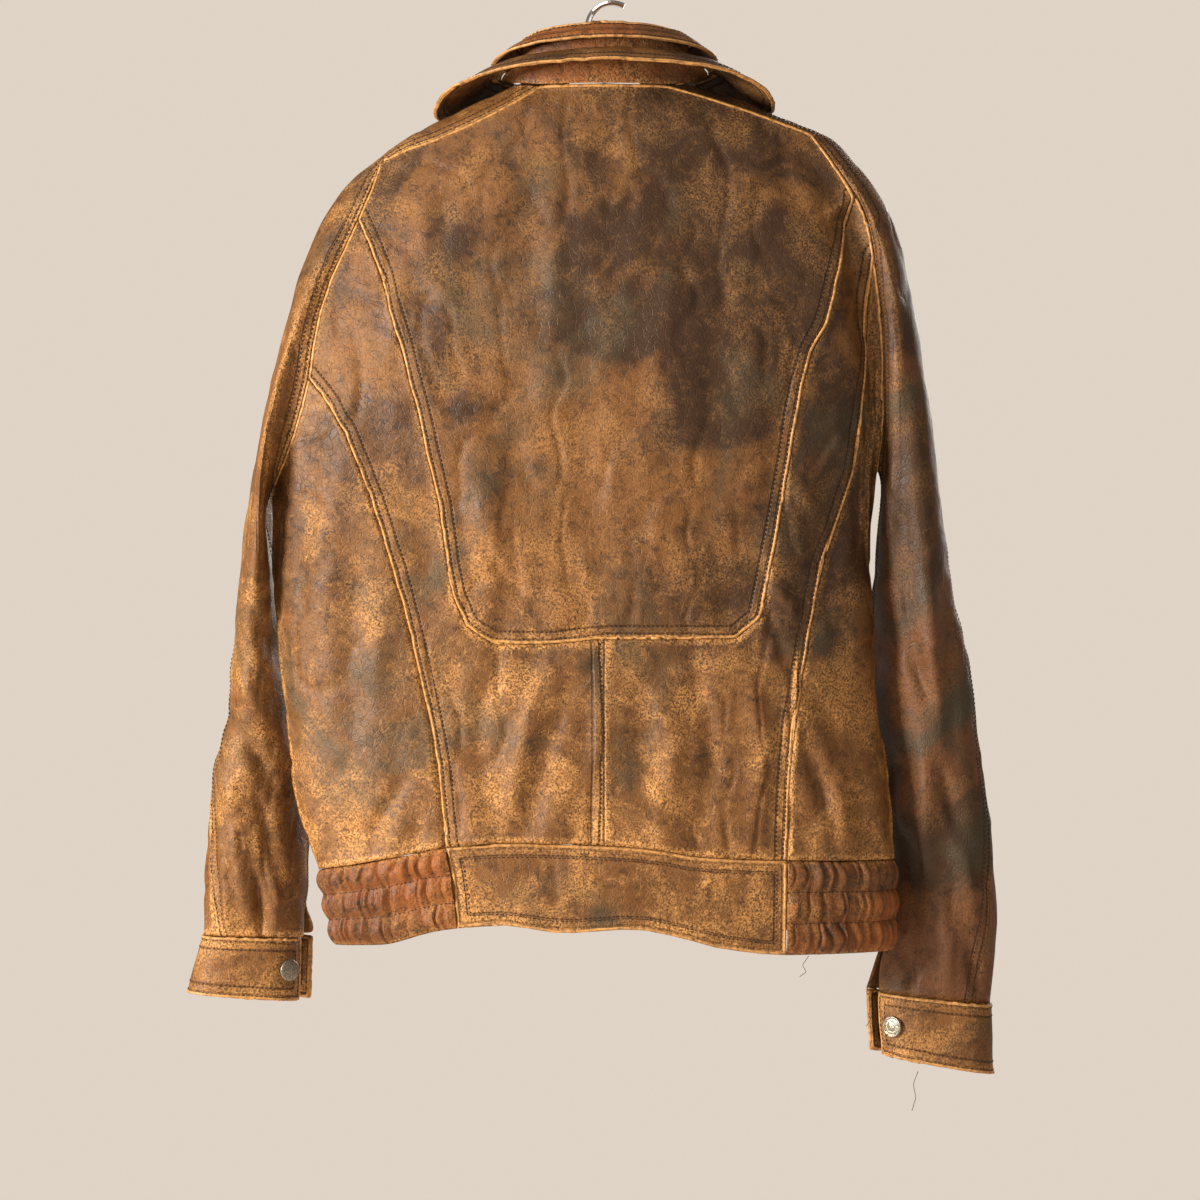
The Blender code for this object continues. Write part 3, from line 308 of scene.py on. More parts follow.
def mark_sides(node, mesh):
    """Gives each face its side of the leather as a material number: outside, inside or cut edge."""
    work = bmesh.new()
    work.from_mesh(mesh)
    crease = work.edges.layers.float.get("crease_edge")
    seen = set()
    parts = []
    for first in work.faces:
        if first in seen:
            continue
        seen.add(first)
        waiting = [first]
        part = []
        while waiting:
            face = waiting.pop()
            part.append(face)
            for edge in face.edges:
                if edge[crease] > 0.5:
                    continue
                for other in edge.link_faces:
                    if other not in seen:
                        seen.add(other)
                        waiting.append(other)
        parts.append(part)
    parts.sort(key=lambda part: -sum(face.calc_area() for face in part))
    for rank, part in enumerate(parts):
        middles = np.array([face.calc_center_median()[:] for face in part]) / MM
        ways = outward(node, middles)
        facing = sum(face.calc_area() * face.normal.dot(Vector(way)) for face, way in zip(part, ways))
        side = RIM if rank > 1 else OUTER if facing > 0 else INNER
        for face in part:
            face.material_index = side
    work.to_mesh(mesh)
    work.free()


def shell_of(node, levels, sharp):
    """A finer copy of a panel's solid, with its cut edges kept crisp."""
    piece = bpy.data.objects.new(node + "_leather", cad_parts[node].data.copy())
    bpy.context.collection.objects.link(piece)
    select_only(piece)
    bpy.ops.object.mode_set(mode="EDIT")
    bpy.ops.mesh.select_all(action="SELECT")
    bpy.ops.mesh.remove_doubles(threshold=0.00001)
    bpy.ops.mesh.tris_convert_to_quads(face_threshold=math.radians(45), shape_threshold=math.radians(80))
    bpy.ops.mesh.select_all(action="DESELECT")
    bpy.ops.mesh.edges_select_sharp(sharpness=sharp)
    bpy.ops.transform.edge_crease(value=1)
    bpy.ops.object.mode_set(mode="OBJECT")
    mark_sides(node, piece.data)
    bpy.ops.object.modifier_add(type="SUBSURF")
    piece.modifiers[-1].levels = levels
    piece.modifiers[-1].render_levels = levels
    bpy.ops.object.modifier_apply(modifier=piece.modifiers[-1].name)
    bpy.ops.object.shade_smooth()
    return piece


def rim_samples(piece):
    """Points along the cut edges of a shell, in mm, a few on each edge."""
    mesh = piece.data
    crease = np.empty(len(mesh.edges), np.float32)
    mesh.attributes["crease_edge"].data.foreach_get("value", crease)
    ends = np.empty(len(mesh.edges) * 2, np.int32)
    mesh.edges.foreach_get("vertices", ends)
    ends = points_of(mesh)[ends.reshape(-1, 2)[crease > 0.5]] / MM
    return np.vstack([ends[:, 0] + (ends[:, 1] - ends[:, 0]) * share for share in (0, 0.25, 0.5, 0.75)])


def distances(points, targets):
    """Distance in mm from each point to the nearest target."""
    if len(targets) == 0:
        return np.full(len(points), FAR)
    tree = KDTree(len(targets))
    for index, target in enumerate(targets):
        tree.insert(target, index)
    tree.balance()
    return np.array([tree.find(point)[2] for point in points])


def fold_height(points, folds):
    """How far soft folds raise or sink each point, in mm."""
    flat = points[:, [0, 2]]
    raised = np.zeros(len(points))
    for line, half, depth in folds:
        line = np.array(line, float)
        lengths = np.linalg.norm(np.diff(line, axis=0), axis=1)
        starts = np.concatenate([[0], np.cumsum(lengths)])
        nearest = np.full(len(points), 1e9)
        along = np.zeros(len(points))
        for k, length in enumerate(lengths):
            way = (line[k + 1] - line[k]) / length
            t = np.clip((flat - line[k]) @ way, 0, length)
            gap = np.linalg.norm(flat - line[k] - t[:, None] * way, axis=1)
            closer = gap < nearest
            nearest[closer] = gap[closer]
            along[closer] = (starts[k] + t[closer]) / starts[-1]
        raised += depth * np.exp(-(nearest / half) ** 2) * np.sin(np.pi * np.clip(along, 0.06, 0.94)) ** 0.6
    return raised


class Garment:
    """The shells made so far, with where their edges lie."""
    shells = {}
    rims = {}

    @classmethod
    def prepare(cls, fineness):
        if cls.shells:
            return
        for node in TORSO + SLEEVES + CUFFS + COLLARS + BANDS + ELASTICS:
            sharp = RUCHE_SHARP if node in ELASTICS else SHARP
            cls.shells[node] = shell_of(node, fineness, sharp)
            cls.rims[node] = rim_samples(cls.shells[node])

    @classmethod
    def seam(cls, node, others):
        """Edge points of a panel that lie along the other pieces, or along none of them."""
        rim = cls.rims[node]
        if others == (ANY,):
            return rim
        if others == (FREE,):
            all_others = np.vstack([cls.rims[name] for name in cls.rims if name != node])
            return rim[distances(rim, all_others) > FREE_REACH]
        return rim[distances(rim, np.vstack([cls.rims[name] for name in others])) < SEAM_REACH]


def group_of(node):
    for group in (TORSO, SLEEVES + CUFFS, COLLARS, BANDS + ELASTICS):
        if node in group:
            return group
    raise ValueError(node)


def around_hem(node, points):
    """For points of a hem side: the turn round the body, and the share of the way up its strip."""
    rim = Garment.rims[node]
    turn, spread = (np.arctan2(place[:, 1] / HALF_DEPTH, (place[:, 0] - CHEST_X) / HALF_WIDTH)
                    for place in (points, rim))
    if node.endswith("right"):
        turn, spread = turn % (2 * math.pi), spread % (2 * math.pi)
    cells = np.linspace(spread.min(), spread.max(), 25)
    middles = (cells[1:] + cells[:-1]) / 2
    rows = [rim[(spread >= a) & (spread <= b), 2] for a, b in zip(cells, cells[1:])]
    low = np.interp(turn, middles, [row.min() for row in rows])
    high = np.interp(turn, middles, [row.max() for row in rows])
    share = (points[:, 2] - low) / np.maximum(high - low, 1)
    return (turn - spread.min()) / (spread.max() - spread.min()), share


def ruche_height(node, points):
    """Gathers of a hem side: narrow folds that puff between the stitched rows."""
    turn, share = around_hem(node, points)
    tier = np.clip(share, 0, 0.999) * TIERS
    shift = 0.55 * smooth_noise(np.stack([turn * 40, np.floor(tier) * 7.0, tier * 0.6], axis=1), 1.0, 3)
    wave = np.abs(np.sin(math.pi * (turn * RUCHES + shift + 0.31 * np.floor(tier))))
    size = 0.75 + 0.35 * smooth_noise(np.stack([turn * 60, np.floor(tier) * 9.0, turn * 0], axis=1), 1.0, 5)
    puff = np.sin(math.pi * (tier % 1.0)) ** 0.6
    return RUCHE_HEIGHT * (wave ** 0.8 * size * (0.4 + 0.6 * puff) + 0.25 * puff - 0.6)


def crumple(node, wrinkle):
    """Moves a shell's points out and in by folds and wrinkles, held still at seams to other groups."""
    piece = Garment.shells[node]
    points = points_of(piece.data) / MM
    group = group_of(node)
    seams = np.vstack([Garment.rims[name] for name in Garment.rims if name not in group])
    seams = seams[distances(seams, Garment.rims[node]) < STILL_REACH]
    hold = np.clip(distances(points, seams) / STILL_WIDTH, 0, 1) ** 0.8
    fine = (0.9 * smooth_noise(points, (46, 60, 110), 3) + 0.55 * smooth_noise(points, (21, 30, 40), 5)
            + 0.3 * smooth_noise(points, (11, 14, 17), 7))
    bent = points + 9 * smooth_noise(points, 30, 11)[:, None]
    creases = 1 - np.abs(smooth_noise(bent, (26, 40, 52), 9)) * 5
    height = wrinkle / MM * (fine - 0.7 * np.clip(creases, 0, 1))
    if node in TORSO:
        back = points[:, 1] > 0
        height += FOLD_DEPTH * 0.7 * np.where(back, fold_height(points, BACK_FOLDS),
                                              fold_height(points, FRONT_FOLDS))
        gather = np.clip((points[:, 2] - HEM_Z) / GATHER_TOP, 0, 1)
        puckers = smooth_noise(points, (7.5, 60, 300), 21)
        height += GATHER_HEIGHT * puckers * (1 - gather) ** 1.5
    elif node in SLEEVES:
        height += FOLD_DEPTH * fold_height(points, SLEEVE_FOLDS)
        height += 0.9 * smooth_noise(points, (34, 34, 24), 31)
    elif node in ELASTICS:
        height = ruche_height(node, points)
        hold = 1.0
    else:
        height *= 0.55
    points += outward(node, points) * (height * hold)[:, None]
    piece.data.vertices.foreach_set("co", (points * MM).astype(np.float32).ravel())
    piece.data.update()


def mark_wear(node):
    """Writes how far each point lies from its panel's edges and from its stitched seams, in mm."""
    piece = Garment.shells[node]
    points = points_of(piece.data) / MM
    piece.data.attributes.new("edge", "FLOAT", "POINT").data.foreach_set(
        "value", distances(points, Garment.rims[node]).astype(np.float32))
    sewn = [Garment.seam(name, others) for name, others, rows in STITCHED if name == node]
    sewn = [seam for seam in sewn if len(seam)]
    field = distances(points, np.vstack(sewn)) if sewn else np.full(len(points), FAR)
    piece.data.attributes.new("sewn", "FLOAT", "POINT").data.foreach_set("value", field.astype(np.float32))


def level_lines(node, field, level):
    """Chains of points, with normals, where a value on a shell's outer side crosses a level."""
    mesh = Garment.shells[node].data
    mesh.calc_loop_triangles()
    corners = np.empty(len(mesh.loop_triangles) * 3, np.int32)
    mesh.loop_triangles.foreach_get("vertices", corners)
    owner = np.empty(len(mesh.loop_triangles), np.int32)
    mesh.loop_triangles.foreach_get("polygon_index", owner)
    sides = np.empty(len(mesh.polygons), np.int32)
    mesh.polygons.foreach_get("material_index", sides)
    corners = corners.reshape(-1, 3)[sides[owner] == OUTER]
    above = field[corners] > level
    crossing = corners[(above.sum(axis=1) % 3) > 0]
    points, normals = points_of(mesh) / MM, normals_of(mesh)
    places, links = {}, {}
    for face in crossing:
        hits = []
        for a, b in ((face[0], face[1]), (face[1], face[2]), (face[2], face[0])):
            if (field[a] > level) == (field[b] > level):
                continue
            key = (min(a, b), max(a, b))
            if key not in places:
                share = (level - field[key[0]]) / (field[key[1]] - field[key[0]])
                mix = normals[key[0]] * (1 - share) + normals[key[1]] * share
                places[key] = (points[key[0]] * (1 - share) + points[key[1]] * share, mix)
            hits.append(key)
        if len(hits) == 2:
            links.setdefault(hits[0], []).append(hits[1])
            links.setdefault(hits[1], []).append(hits[0])
    chains = []
    used = set()
    for start in sorted(links, key=lambda key: len(links[key])):
        if start in used:
            continue
        chain = [start]
        used.add(start)
        while True:
            following = [key for key in links[chain[-1]] if key not in used]
            if not following:
                break
            chain.append(following[0])
            used.add(following[0])
        if len(chain) > 3:
            chains.append(tuple(np.array([places[key][k] for key in chain]) for k in (0, 1)))
    return chains


def along(chain, step):
    """Even places on a chain, with the normal and direction at each."""
    points, normals = chain
    lengths = np.linalg.norm(np.diff(points, axis=0), axis=1)
    total = np.concatenate([[0], np.cumsum(lengths)])
    count = int(total[-1] / step)
    if count < 2:
        return []
    at = (np.arange(count) + 0.5) * total[-1] / count
    place = np.stack([np.interp(at, total, points[:, k]) for k in range(3)], axis=1)
    normal = np.stack([np.interp(at, total, normals[:, k]) for k in range(3)], axis=1)
    normal /= np.linalg.norm(normal, axis=1, keepdims=True)
    ahead = np.gradient(place, axis=0)
    ahead /= np.maximum(np.linalg.norm(ahead, axis=1, keepdims=True), 1e-9)
    return list(zip(place, normal, ahead))


def build_mesh(name, points, faces, material):
    mesh = bpy.data.meshes.new(name)
    mesh.from_pydata([tuple(point) for point in np.asarray(points) * MM], [], faces)
    mesh.validate()
    piece = bpy.data.objects.new(name, mesh)
    bpy.context.collection.objects.link(piece)
    piece.data.materials.append(material)
    select_only(piece)
    bpy.ops.object.mode_set(mode="EDIT")
    bpy.ops.mesh.select_all(action="SELECT")
    bpy.ops.mesh.normals_make_consistent(inside=False)
    bpy.ops.object.mode_set(mode="OBJECT")
    bpy.ops.object.shade_smooth()
    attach(piece, "root")
    return piece


def add_stitch(points, faces, place, normal, ahead, length, thick):
    """One stitch: a short thread, thicker in its middle, whose ends dip into the leather."""
    side = np.cross(ahead, normal)
    first = len(points)
    points.append(place - ahead * length / 2 - normal * thick * 0.5)
    for share in (-0.3, 0.3):
        for k in range(4):
            turn = math.pi * (k + 0.5) / 2
            points.append(place + ahead * length * share
                          + (side * math.cos(turn) + normal * (math.sin(turn) + 0.25)) * thick / 2)
    points.append(place + ahead * length / 2 - normal * thick * 0.5)
    for k in range(4):
        n = (k + 1) % 4
        faces.append((first, first + 1 + n, first + 1 + k))
        faces.append((first + 1 + k, first + 1 + n, first + 5 + n, first + 5 + k))
        faces.append((first + 9, first + 5 + k, first + 5 + n))


def add_tube(points, faces, line, normals, radius, sides=7):
    """A thin tube along a line, with closed ends."""
    line, normals = np.asarray(line), np.asarray(normals)
    ahead = np.gradient(line, axis=0)
    ahead /= np.maximum(np.linalg.norm(ahead, axis=1, keepdims=True), 1e-9)
    side = np.cross(ahead, normals)
    side /= np.maximum(np.linalg.norm(side, axis=1, keepdims=True), 1e-9)
    up = np.cross(side, ahead)
    first = len(points)
    for k in range(len(line)):
        for j in range(sides):
            turn = 2 * math.pi * j / sides
            points.append(line[k] + (side[k] * math.cos(turn) + up[k] * math.sin(turn)) * radius)
    for k in range(len(line) - 1):
        for j in range(sides):
            n = (j + 1) % sides
            a, b = first + k * sides, first + (k + 1) * sides
            faces.append((a + j, a + n, b + n, b + j))
    faces.append(tuple(first + j for j in range(sides)))
    faces.append(tuple(first + (len(line) - 1) * sides + j for j in reversed(range(sides))))


def put(tree, kind, **settings):
    """Adds a node; settings name its own values, and those with _in a socket's default."""
    node = tree.nodes.new(kind)
    for name, value in settings.items():
        if name.endswith("_in"):
            node.inputs[name[:-3].replace("_", " ").title()].default_value = value
        else:
            setattr(node, name, value)
    return node


def math_node(tree, operation, first, second=None, clamp=False):
    node = put(tree, "ShaderNodeMath", operation=operation, use_clamp=clamp)
    for index, value in enumerate((first, second)):
        if value is None:
            continue
        if isinstance(value, (int, float)):
            node.inputs[index].default_value = value
        else:
            tree.links.new(value, node.inputs[index])
    return node.outputs[0]


def noise_node(tree, where, scale, detail=3.0, roughness=0.5, distortion=0.0):
    node = put(tree, "ShaderNodeTexNoise", scale_in=scale, detail_in=detail, roughness_in=roughness,
               distortion_in=distortion)
    tree.links.new(where, node.inputs["Vector"])
    return node.outputs["Fac"]


def ramp(tree, value, low, high, bottom=0.0, top=1.0):
    node = put(tree, "ShaderNodeMapRange", interpolation_type="SMOOTHSTEP")
    tree.links.new(value, node.inputs["Value"])
    for name, number in (("From Min", low), ("From Max", high), ("To Min", bottom), ("To Max", top)):
        node.inputs[name].default_value = number
    return node.outputs["Result"]


def mix_colour(tree, amount, first, second):
    """A Mix node has a pair of inputs for each kind of data; those for colour are numbers 6 and 7."""
    node = put(tree, "ShaderNodeMix", data_type="RGBA")
    for socket, value in ((0, amount), (6, first), (7, second)):
        tree.links.new(value, node.inputs[socket])
    return node.outputs[2]


def bent_position(tree, where, amount):
    """A position pushed about by noise, so that a pattern on it loses its straight lines."""
    noise = put(tree, "ShaderNodeTexNoise", scale_in=70.0, detail_in=2.0)
    tree.links.new(where, noise.inputs["Vector"])
    bent = put(tree, "ShaderNodeVectorMath", operation="MULTIPLY_ADD")
    tree.links.new(noise.outputs["Color"], bent.inputs[0])
    bent.inputs[1].default_value = (amount, amount, amount)
    tree.links.new(where, bent.inputs[2])
    return bent.outputs[0]


def add_bump(tree, shader, height, distance, strength=1.0):
    bump = put(tree, "ShaderNodeBump", strength_in=strength, distance_in=distance)
    tree.links.new(height, bump.inputs["Height"])
    tree.links.new(bump.outputs["Normal"], shader.inputs["Normal"])


def two_tone(tree, shader, amount, colour, share):
    """A base colour that goes down to a share of itself where the amount is high."""
    tones = []
    for part in (1.0, share):
        tone = put(tree, "ShaderNodeRGB").outputs[0]
        tone.default_value = (*[value * part for value in colour], 1)
        tones.append(tone)
    tree.links.new(mix_colour(tree, amount, *tones), shader.inputs["Base Color"])


def leather_group():
    """Distressed leather: clouds, rubbed tan, grime and grain, a lightening that changes with height and side
    (partly painted light), and painted shade in the stitch grooves, from a position and two distances in mm.
    """
    tree = bpy.data.node_groups.get("Distressed leather")
    if tree:
        return tree
    tree = bpy.data.node_groups.new("Distressed leather", "ShaderNodeTree")
    face = tree.interface
    face.new_socket("Position", in_out="INPUT", socket_type="NodeSocketVector")
    for name in ("Base", "Dark", "Tan", "Grime"):
        face.new_socket(name, in_out="INPUT", socket_type="NodeSocketColor")
    for name in ("Edge", "Sewn", "Rubbing", "Darkening", "Top Fading And Light", "Foot Fading And Light"):
        face.new_socket(name, in_out="INPUT", socket_type="NodeSocketFloat")
    face.new_socket("Colour", in_out="OUTPUT", socket_type="NodeSocketColor")
    face.new_socket("Roughness", in_out="OUTPUT", socket_type="NodeSocketFloat")
    face.new_socket("Height", in_out="OUTPUT", socket_type="NodeSocketFloat")
    given = tree.nodes.new("NodeGroupInput").outputs
    result = tree.nodes.new("NodeGroupOutput").inputs
    where = given["Position"]
    clouds = noise_node(tree, where, 8.0, 4.0, 0.55, 0.8)
    patches = noise_node(tree, where, 19.0, 5.0, 0.6, 0.5)
    shifted = put(tree, "ShaderNodeVectorMath", operation="ADD")
    tree.links.new(where, shifted.inputs[0])
    shifted.inputs[1].default_value = (1.7, 4.1, 2.9)
    grimy = noise_node(tree, shifted.outputs[0], 6.5, 4.0, 0.6, 1.2)
    mottle = noise_node(tree, where, 120.0, 5.0, 0.68, 0.4)
    grain = noise_node(tree, where, 620.0, 3.0, 0.6)
    streaks = noise_node(tree, shifted.outputs[0], 48.0, 8.0, 0.72, 1.6)
    near_edge = ramp(tree, given["Edge"], 0.5, 5.5, 1.0, 0.0)
    band = ramp(tree, given["Sewn"], 8.0, 11.0, 1.0, 0.0)
    # Painted light, partly real fading: a slope in height and in x sets how far rubbed tan replaces the dark
    # clouds, with its two ends given per leather.
    spot = put(tree, "ShaderNodeSeparateXYZ")
    tree.links.new(where, spot.inputs[0])
    wavy = math_node(tree, "ADD", spot.outputs["Z"], math_node(tree, "MULTIPLY", clouds, -0.12))
    wavy = math_node(tree, "ADD", wavy, math_node(tree, "MULTIPLY", spot.outputs["X"], -0.35))
    faded_and_lit = put(tree, "ShaderNodeMapRange", interpolation_type="SMOOTHSTEP")
    for socket, value in (("Value", wavy), ("To Min", given["Foot Fading And Light"]), ("To Max", given["Top Fading And Light"])):
        tree.links.new(value, faded_and_lit.inputs[socket])
    faded_and_lit.inputs["From Min"].default_value = -0.68
    faded_and_lit.inputs["From Max"].default_value = -0.42
    faded_and_lit = faded_and_lit.outputs["Result"]
    dark = math_node(tree, "MULTIPLY", ramp(tree, clouds, 0.42, 0.62), given["Darkening"], True)
    dark = math_node(tree, "MULTIPLY", dark, math_node(tree, "SUBTRACT", 1.15, faded_and_lit), True)
    dark = math_node(tree, "ADD", dark, ramp(tree, mottle, 0.48, 0.68, 0.0, 0.6), True)
    colour = mix_colour(tree, dark, given["Base"], given["Dark"])
    rubbed = math_node(tree, "ADD", ramp(tree, patches, 0.44, 0.66, 0.0, 0.62),
                       ramp(tree, streaks, 0.5, 0.72, 0.0, 0.5))
    worn_edge = math_node(tree, "MULTIPLY", near_edge, ramp(tree, mottle, 0.25, 0.6))
    rubbed = math_node(tree, "ADD", rubbed, worn_edge)
    rubbed = math_node(tree, "ADD", rubbed, math_node(tree, "MULTIPLY", band, 0.16))
    rubbed = math_node(tree, "MULTIPLY", rubbed, math_node(tree, "ADD", 0.45, faded_and_lit))
    rubbed = math_node(tree, "MULTIPLY", rubbed, given["Rubbing"])
    rubbed = math_node(tree, "MULTIPLY", rubbed, ramp(tree, grain, 0.4, 0.6, 0.12, 1.0), True)
    colour = mix_colour(tree, rubbed, colour, given["Tan"])
    grimed = math_node(tree, "MULTIPLY", ramp(tree, grimy, 0.5, 0.68, 0.0, 0.72), given["Darkening"], True)
    colour = mix_colour(tree, grimed, colour, given["Grime"])
    valleys = math_node(tree, "MULTIPLY", ramp(tree, grain, 0.36, 0.52, 0.62, 0.0),
                        ramp(tree, mottle, 0.2, 0.7))
    colour = mix_colour(tree, valleys, colour, given["Dark"])
    # Painted shade: the stitch-row grooves are darkened in colour as well as sunk in the bump.
    grooves = []
    for inset, width in zip(ROW_INSETS, (1.5, 1.2)):
        row = math_node(tree, "ABSOLUTE", math_node(tree, "SUBTRACT", given["Sewn"], inset))
        grooves.append(ramp(tree, row, 0.2, width, 1.0, 0.0))
    groove = math_node(tree, "MAXIMUM", *grooves)
    colour = mix_colour(tree, math_node(tree, "MULTIPLY", groove, 0.5), colour, given["Dark"])
    tree.links.new(colour, result["Colour"])
    rough = math_node(tree, "ADD", ramp(tree, patches, 0.3, 0.7, 0.36, 0.56),
                      ramp(tree, grain, 0.3, 0.7, 0.0, 0.14))
    tree.links.new(rough, result["Roughness"])
    pebbles = put(tree, "ShaderNodeTexVoronoi", feature="SMOOTH_F1", scale_in=780.0, smoothness_in=0.6)
    tree.links.new(where, pebbles.inputs["Vector"])
    cracks = put(tree, "ShaderNodeTexVoronoi", feature="DISTANCE_TO_EDGE", scale_in=150.0)
    tree.links.new(bent_position(tree, where, 0.009), cracks.inputs["Vector"])
    height = math_node(tree, "MULTIPLY", pebbles.outputs["Distance"], -0.16)
    height = math_node(tree, "ADD", height, ramp(tree, cracks.outputs["Distance"], 0.0, 0.09, -0.2, 0.0))
    height = math_node(tree, "ADD", height, math_node(tree, "MULTIPLY", streaks, 0.9))
    height = math_node(tree, "ADD", height, math_node(tree, "MULTIPLY", mottle, 0.35))
    height = math_node(tree, "ADD", height, math_node(tree, "MULTIPLY", groove, -0.75))
    tree.links.new(height, result["Height"])
    return tree


def new_material(name):
    material = bpy.data.materials.new(name)
    material.use_nodes = True
    return material, material.node_tree, material.node_tree.nodes["Principled BSDF"]


def leather(name):
    """A leather whose clouds, rubbing and grain follow its place on the garment."""
    found = bpy.data.materials.get(name)
    if found:
        return found
    settings = bpy.context.scene.jacket
    base, rubbing, darkening, fading_and_light = LEATHERS[name]
    material, tree, shader = new_material(name)
    group = put(tree, "ShaderNodeGroup", node_tree=leather_group())
    coordinates = tree.nodes.new("ShaderNodeTexCoord")
    tree.links.new(coordinates.outputs["Object"], group.inputs["Position"])
    for word, colour in (("Base", base), ("Dark", "dark"), ("Tan", "tan"), ("Grime", "grime")):
        group.inputs[word].default_value = (*getattr(settings, colour), 1)
    for word, attribute in (("Edge", "edge"), ("Sewn", "sewn")):
        reader = put(tree, "ShaderNodeAttribute", attribute_name=attribute)
        tree.links.new(reader.outputs["Fac"], group.inputs[word])
    for word, value in (("Rubbing", rubbing), ("Darkening", darkening), ("Top Fading And Light", fading_and_light[0]),
                        ("Foot Fading And Light", fading_and_light[1])):
        group.inputs[word].default_value = value
    add_bump(tree, shader, group.outputs["Height"], 0.0011, 0.75)
    tree.links.new(group.outputs["Colour"], shader.inputs["Base Color"])
    tree.links.new(group.outputs["Roughness"], shader.inputs["Roughness"])
    shader.inputs["Specular IOR Level"].default_value = 0.34
    return material


def suede():
    """The flesh side of the leather, seen inside the garment."""
    found = bpy.data.materials.get("Flesh side")
    if found:
        return found
    material, tree, shader = new_material("Flesh side")
    coordinates = tree.nodes.new("ShaderNodeTexCoord").outputs["Object"]
    nap = noise_node(tree, coordinates, 900.0, 4.0, 0.7)
    cloud = noise_node(tree, coordinates, 30.0, 4.0, 0.6)
    two_tone(tree, shader, ramp(tree, cloud, 0.35, 0.7), bpy.context.scene.jacket.flesh, 0.45)
    add_bump(tree, shader, nap, 0.0004)
    shader.inputs["Roughness"].default_value = 0.93
    return material


def plain(name, colour, roughness, metallic=0.0, scale=300.0, variation=0.35, bump_height=0.0001):
    """A plain finish with a little mottling in colour and surface."""
    found = bpy.data.materials.get(name)
    if found:
        return found
    material, tree, shader = new_material(name)
    coordinates = tree.nodes.new("ShaderNodeTexCoord").outputs["Object"]
    marks = noise_node(tree, coordinates, scale, 4.0, 0.6)
    two_tone(tree, shader, ramp(tree, marks, 0.4, 0.7), colour, 1 - variation)
    add_bump(tree, shader, marks, bump_height)
    tree.links.new(ramp(tree, marks, 0.2, 0.8, roughness * 0.85, min(roughness * 1.2, 1)),
                   shader.inputs["Roughness"])
    shader.inputs["Metallic"].default_value = metallic
    return material


def dress(nodes, outer):
    """Finishes shells: folds, wear marks and materials; hides the solid each one stands for and hangs it on
    the root.
    """
    settings = bpy.context.scene.jacket
    Garment.prepare(settings.fineness)
    for node in nodes:
        piece = Garment.shells[node]
        crumple(node, settings.wrinkle)
        mark_wear(node)
        piece.data.materials.clear()
        for material in (outer, suede(), outer):
            piece.data.materials.append(material)
        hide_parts(node)
        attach(piece, "root")


class JACKET_OT_body(bpy.types.Operator):
    """Back and front panels and the waistband"""
    bl_idname = "jacket.body"
    bl_label = "Body Panels"

    def execute(self, context):
        dress(TORSO + BANDS, leather("Body leather"))
        return {"FINISHED"}


class JACKET_OT_sleeves(bpy.types.Operator):
    """Both sleeves and their cuffs"""
    bl_idname = "jacket.sleeves"
    bl_label = "Sleeves"

    def execute(self, context):
        # The left sleeve's leather carries painted light and the right one's painted shade.
        dress(["sleeve_top_left", "sleeve_under_left"], leather("Left sleeve leather"))
        dress(["sleeve_top_right", "sleeve_under_right"], leather("Right sleeve leather"))
        dress(CUFFS, leather("Cuff leather"))
        return {"FINISHED"}


class JACKET_OT_collar(bpy.types.Operator):
    """Outer collar, stand and inner collar"""
    bl_idname = "jacket.collar"
    bl_label = "Collar"

    def execute(self, context):
        red = leather("Red leather")
        dress(["collar_outer"], leather("Body leather"))
        dress(["collar_stand"], red)
        dress(["collar_inner"], red)
        return {"FINISHED"}


class JACKET_OT_hem(bpy.types.Operator):
    """The gathered elastic sides of the hem"""
    bl_idname = "jacket.hem"
    bl_label = "Elastic Hem Sides"

    def execute(self, context):
        dress(ELASTICS, leather("Red leather"))
        return {"FINISHED"}


class JACKET_OT_piping(bpy.types.Operator):
    """Rolled light edges along the main seams"""
    bl_idname = "jacket.piping"
    bl_label = "Rolled Edges"

    def execute(self, context):
        settings = context.scene.jacket
        radius = settings.piping / MM / 2
        pale = [value * 1.05 for value in settings.tan]
        edge = plain("Rolled edge leather", pale, 0.42, 0.0, 260.0, 0.62, 0.0005)
        points, faces = [], []
        for node, others in PIPED:
            seam = Garment.seam(node, others)
            if len(seam) == 0:
                continue
            field = distances(points_of(Garment.shells[node].data) / MM, seam)
            for chain in level_lines(node, field, radius * 0.9):
                places = along(chain, 3.0)
                if len(places) > 4:
                    line = [place - normal * radius * 0.35 for place, normal, ahead in places]
                    add_tube(points, faces, line, [normal for place, normal, ahead in places], radius)
        build_mesh("rolled_edges", points, faces, edge)
        return {"FINISHED"}


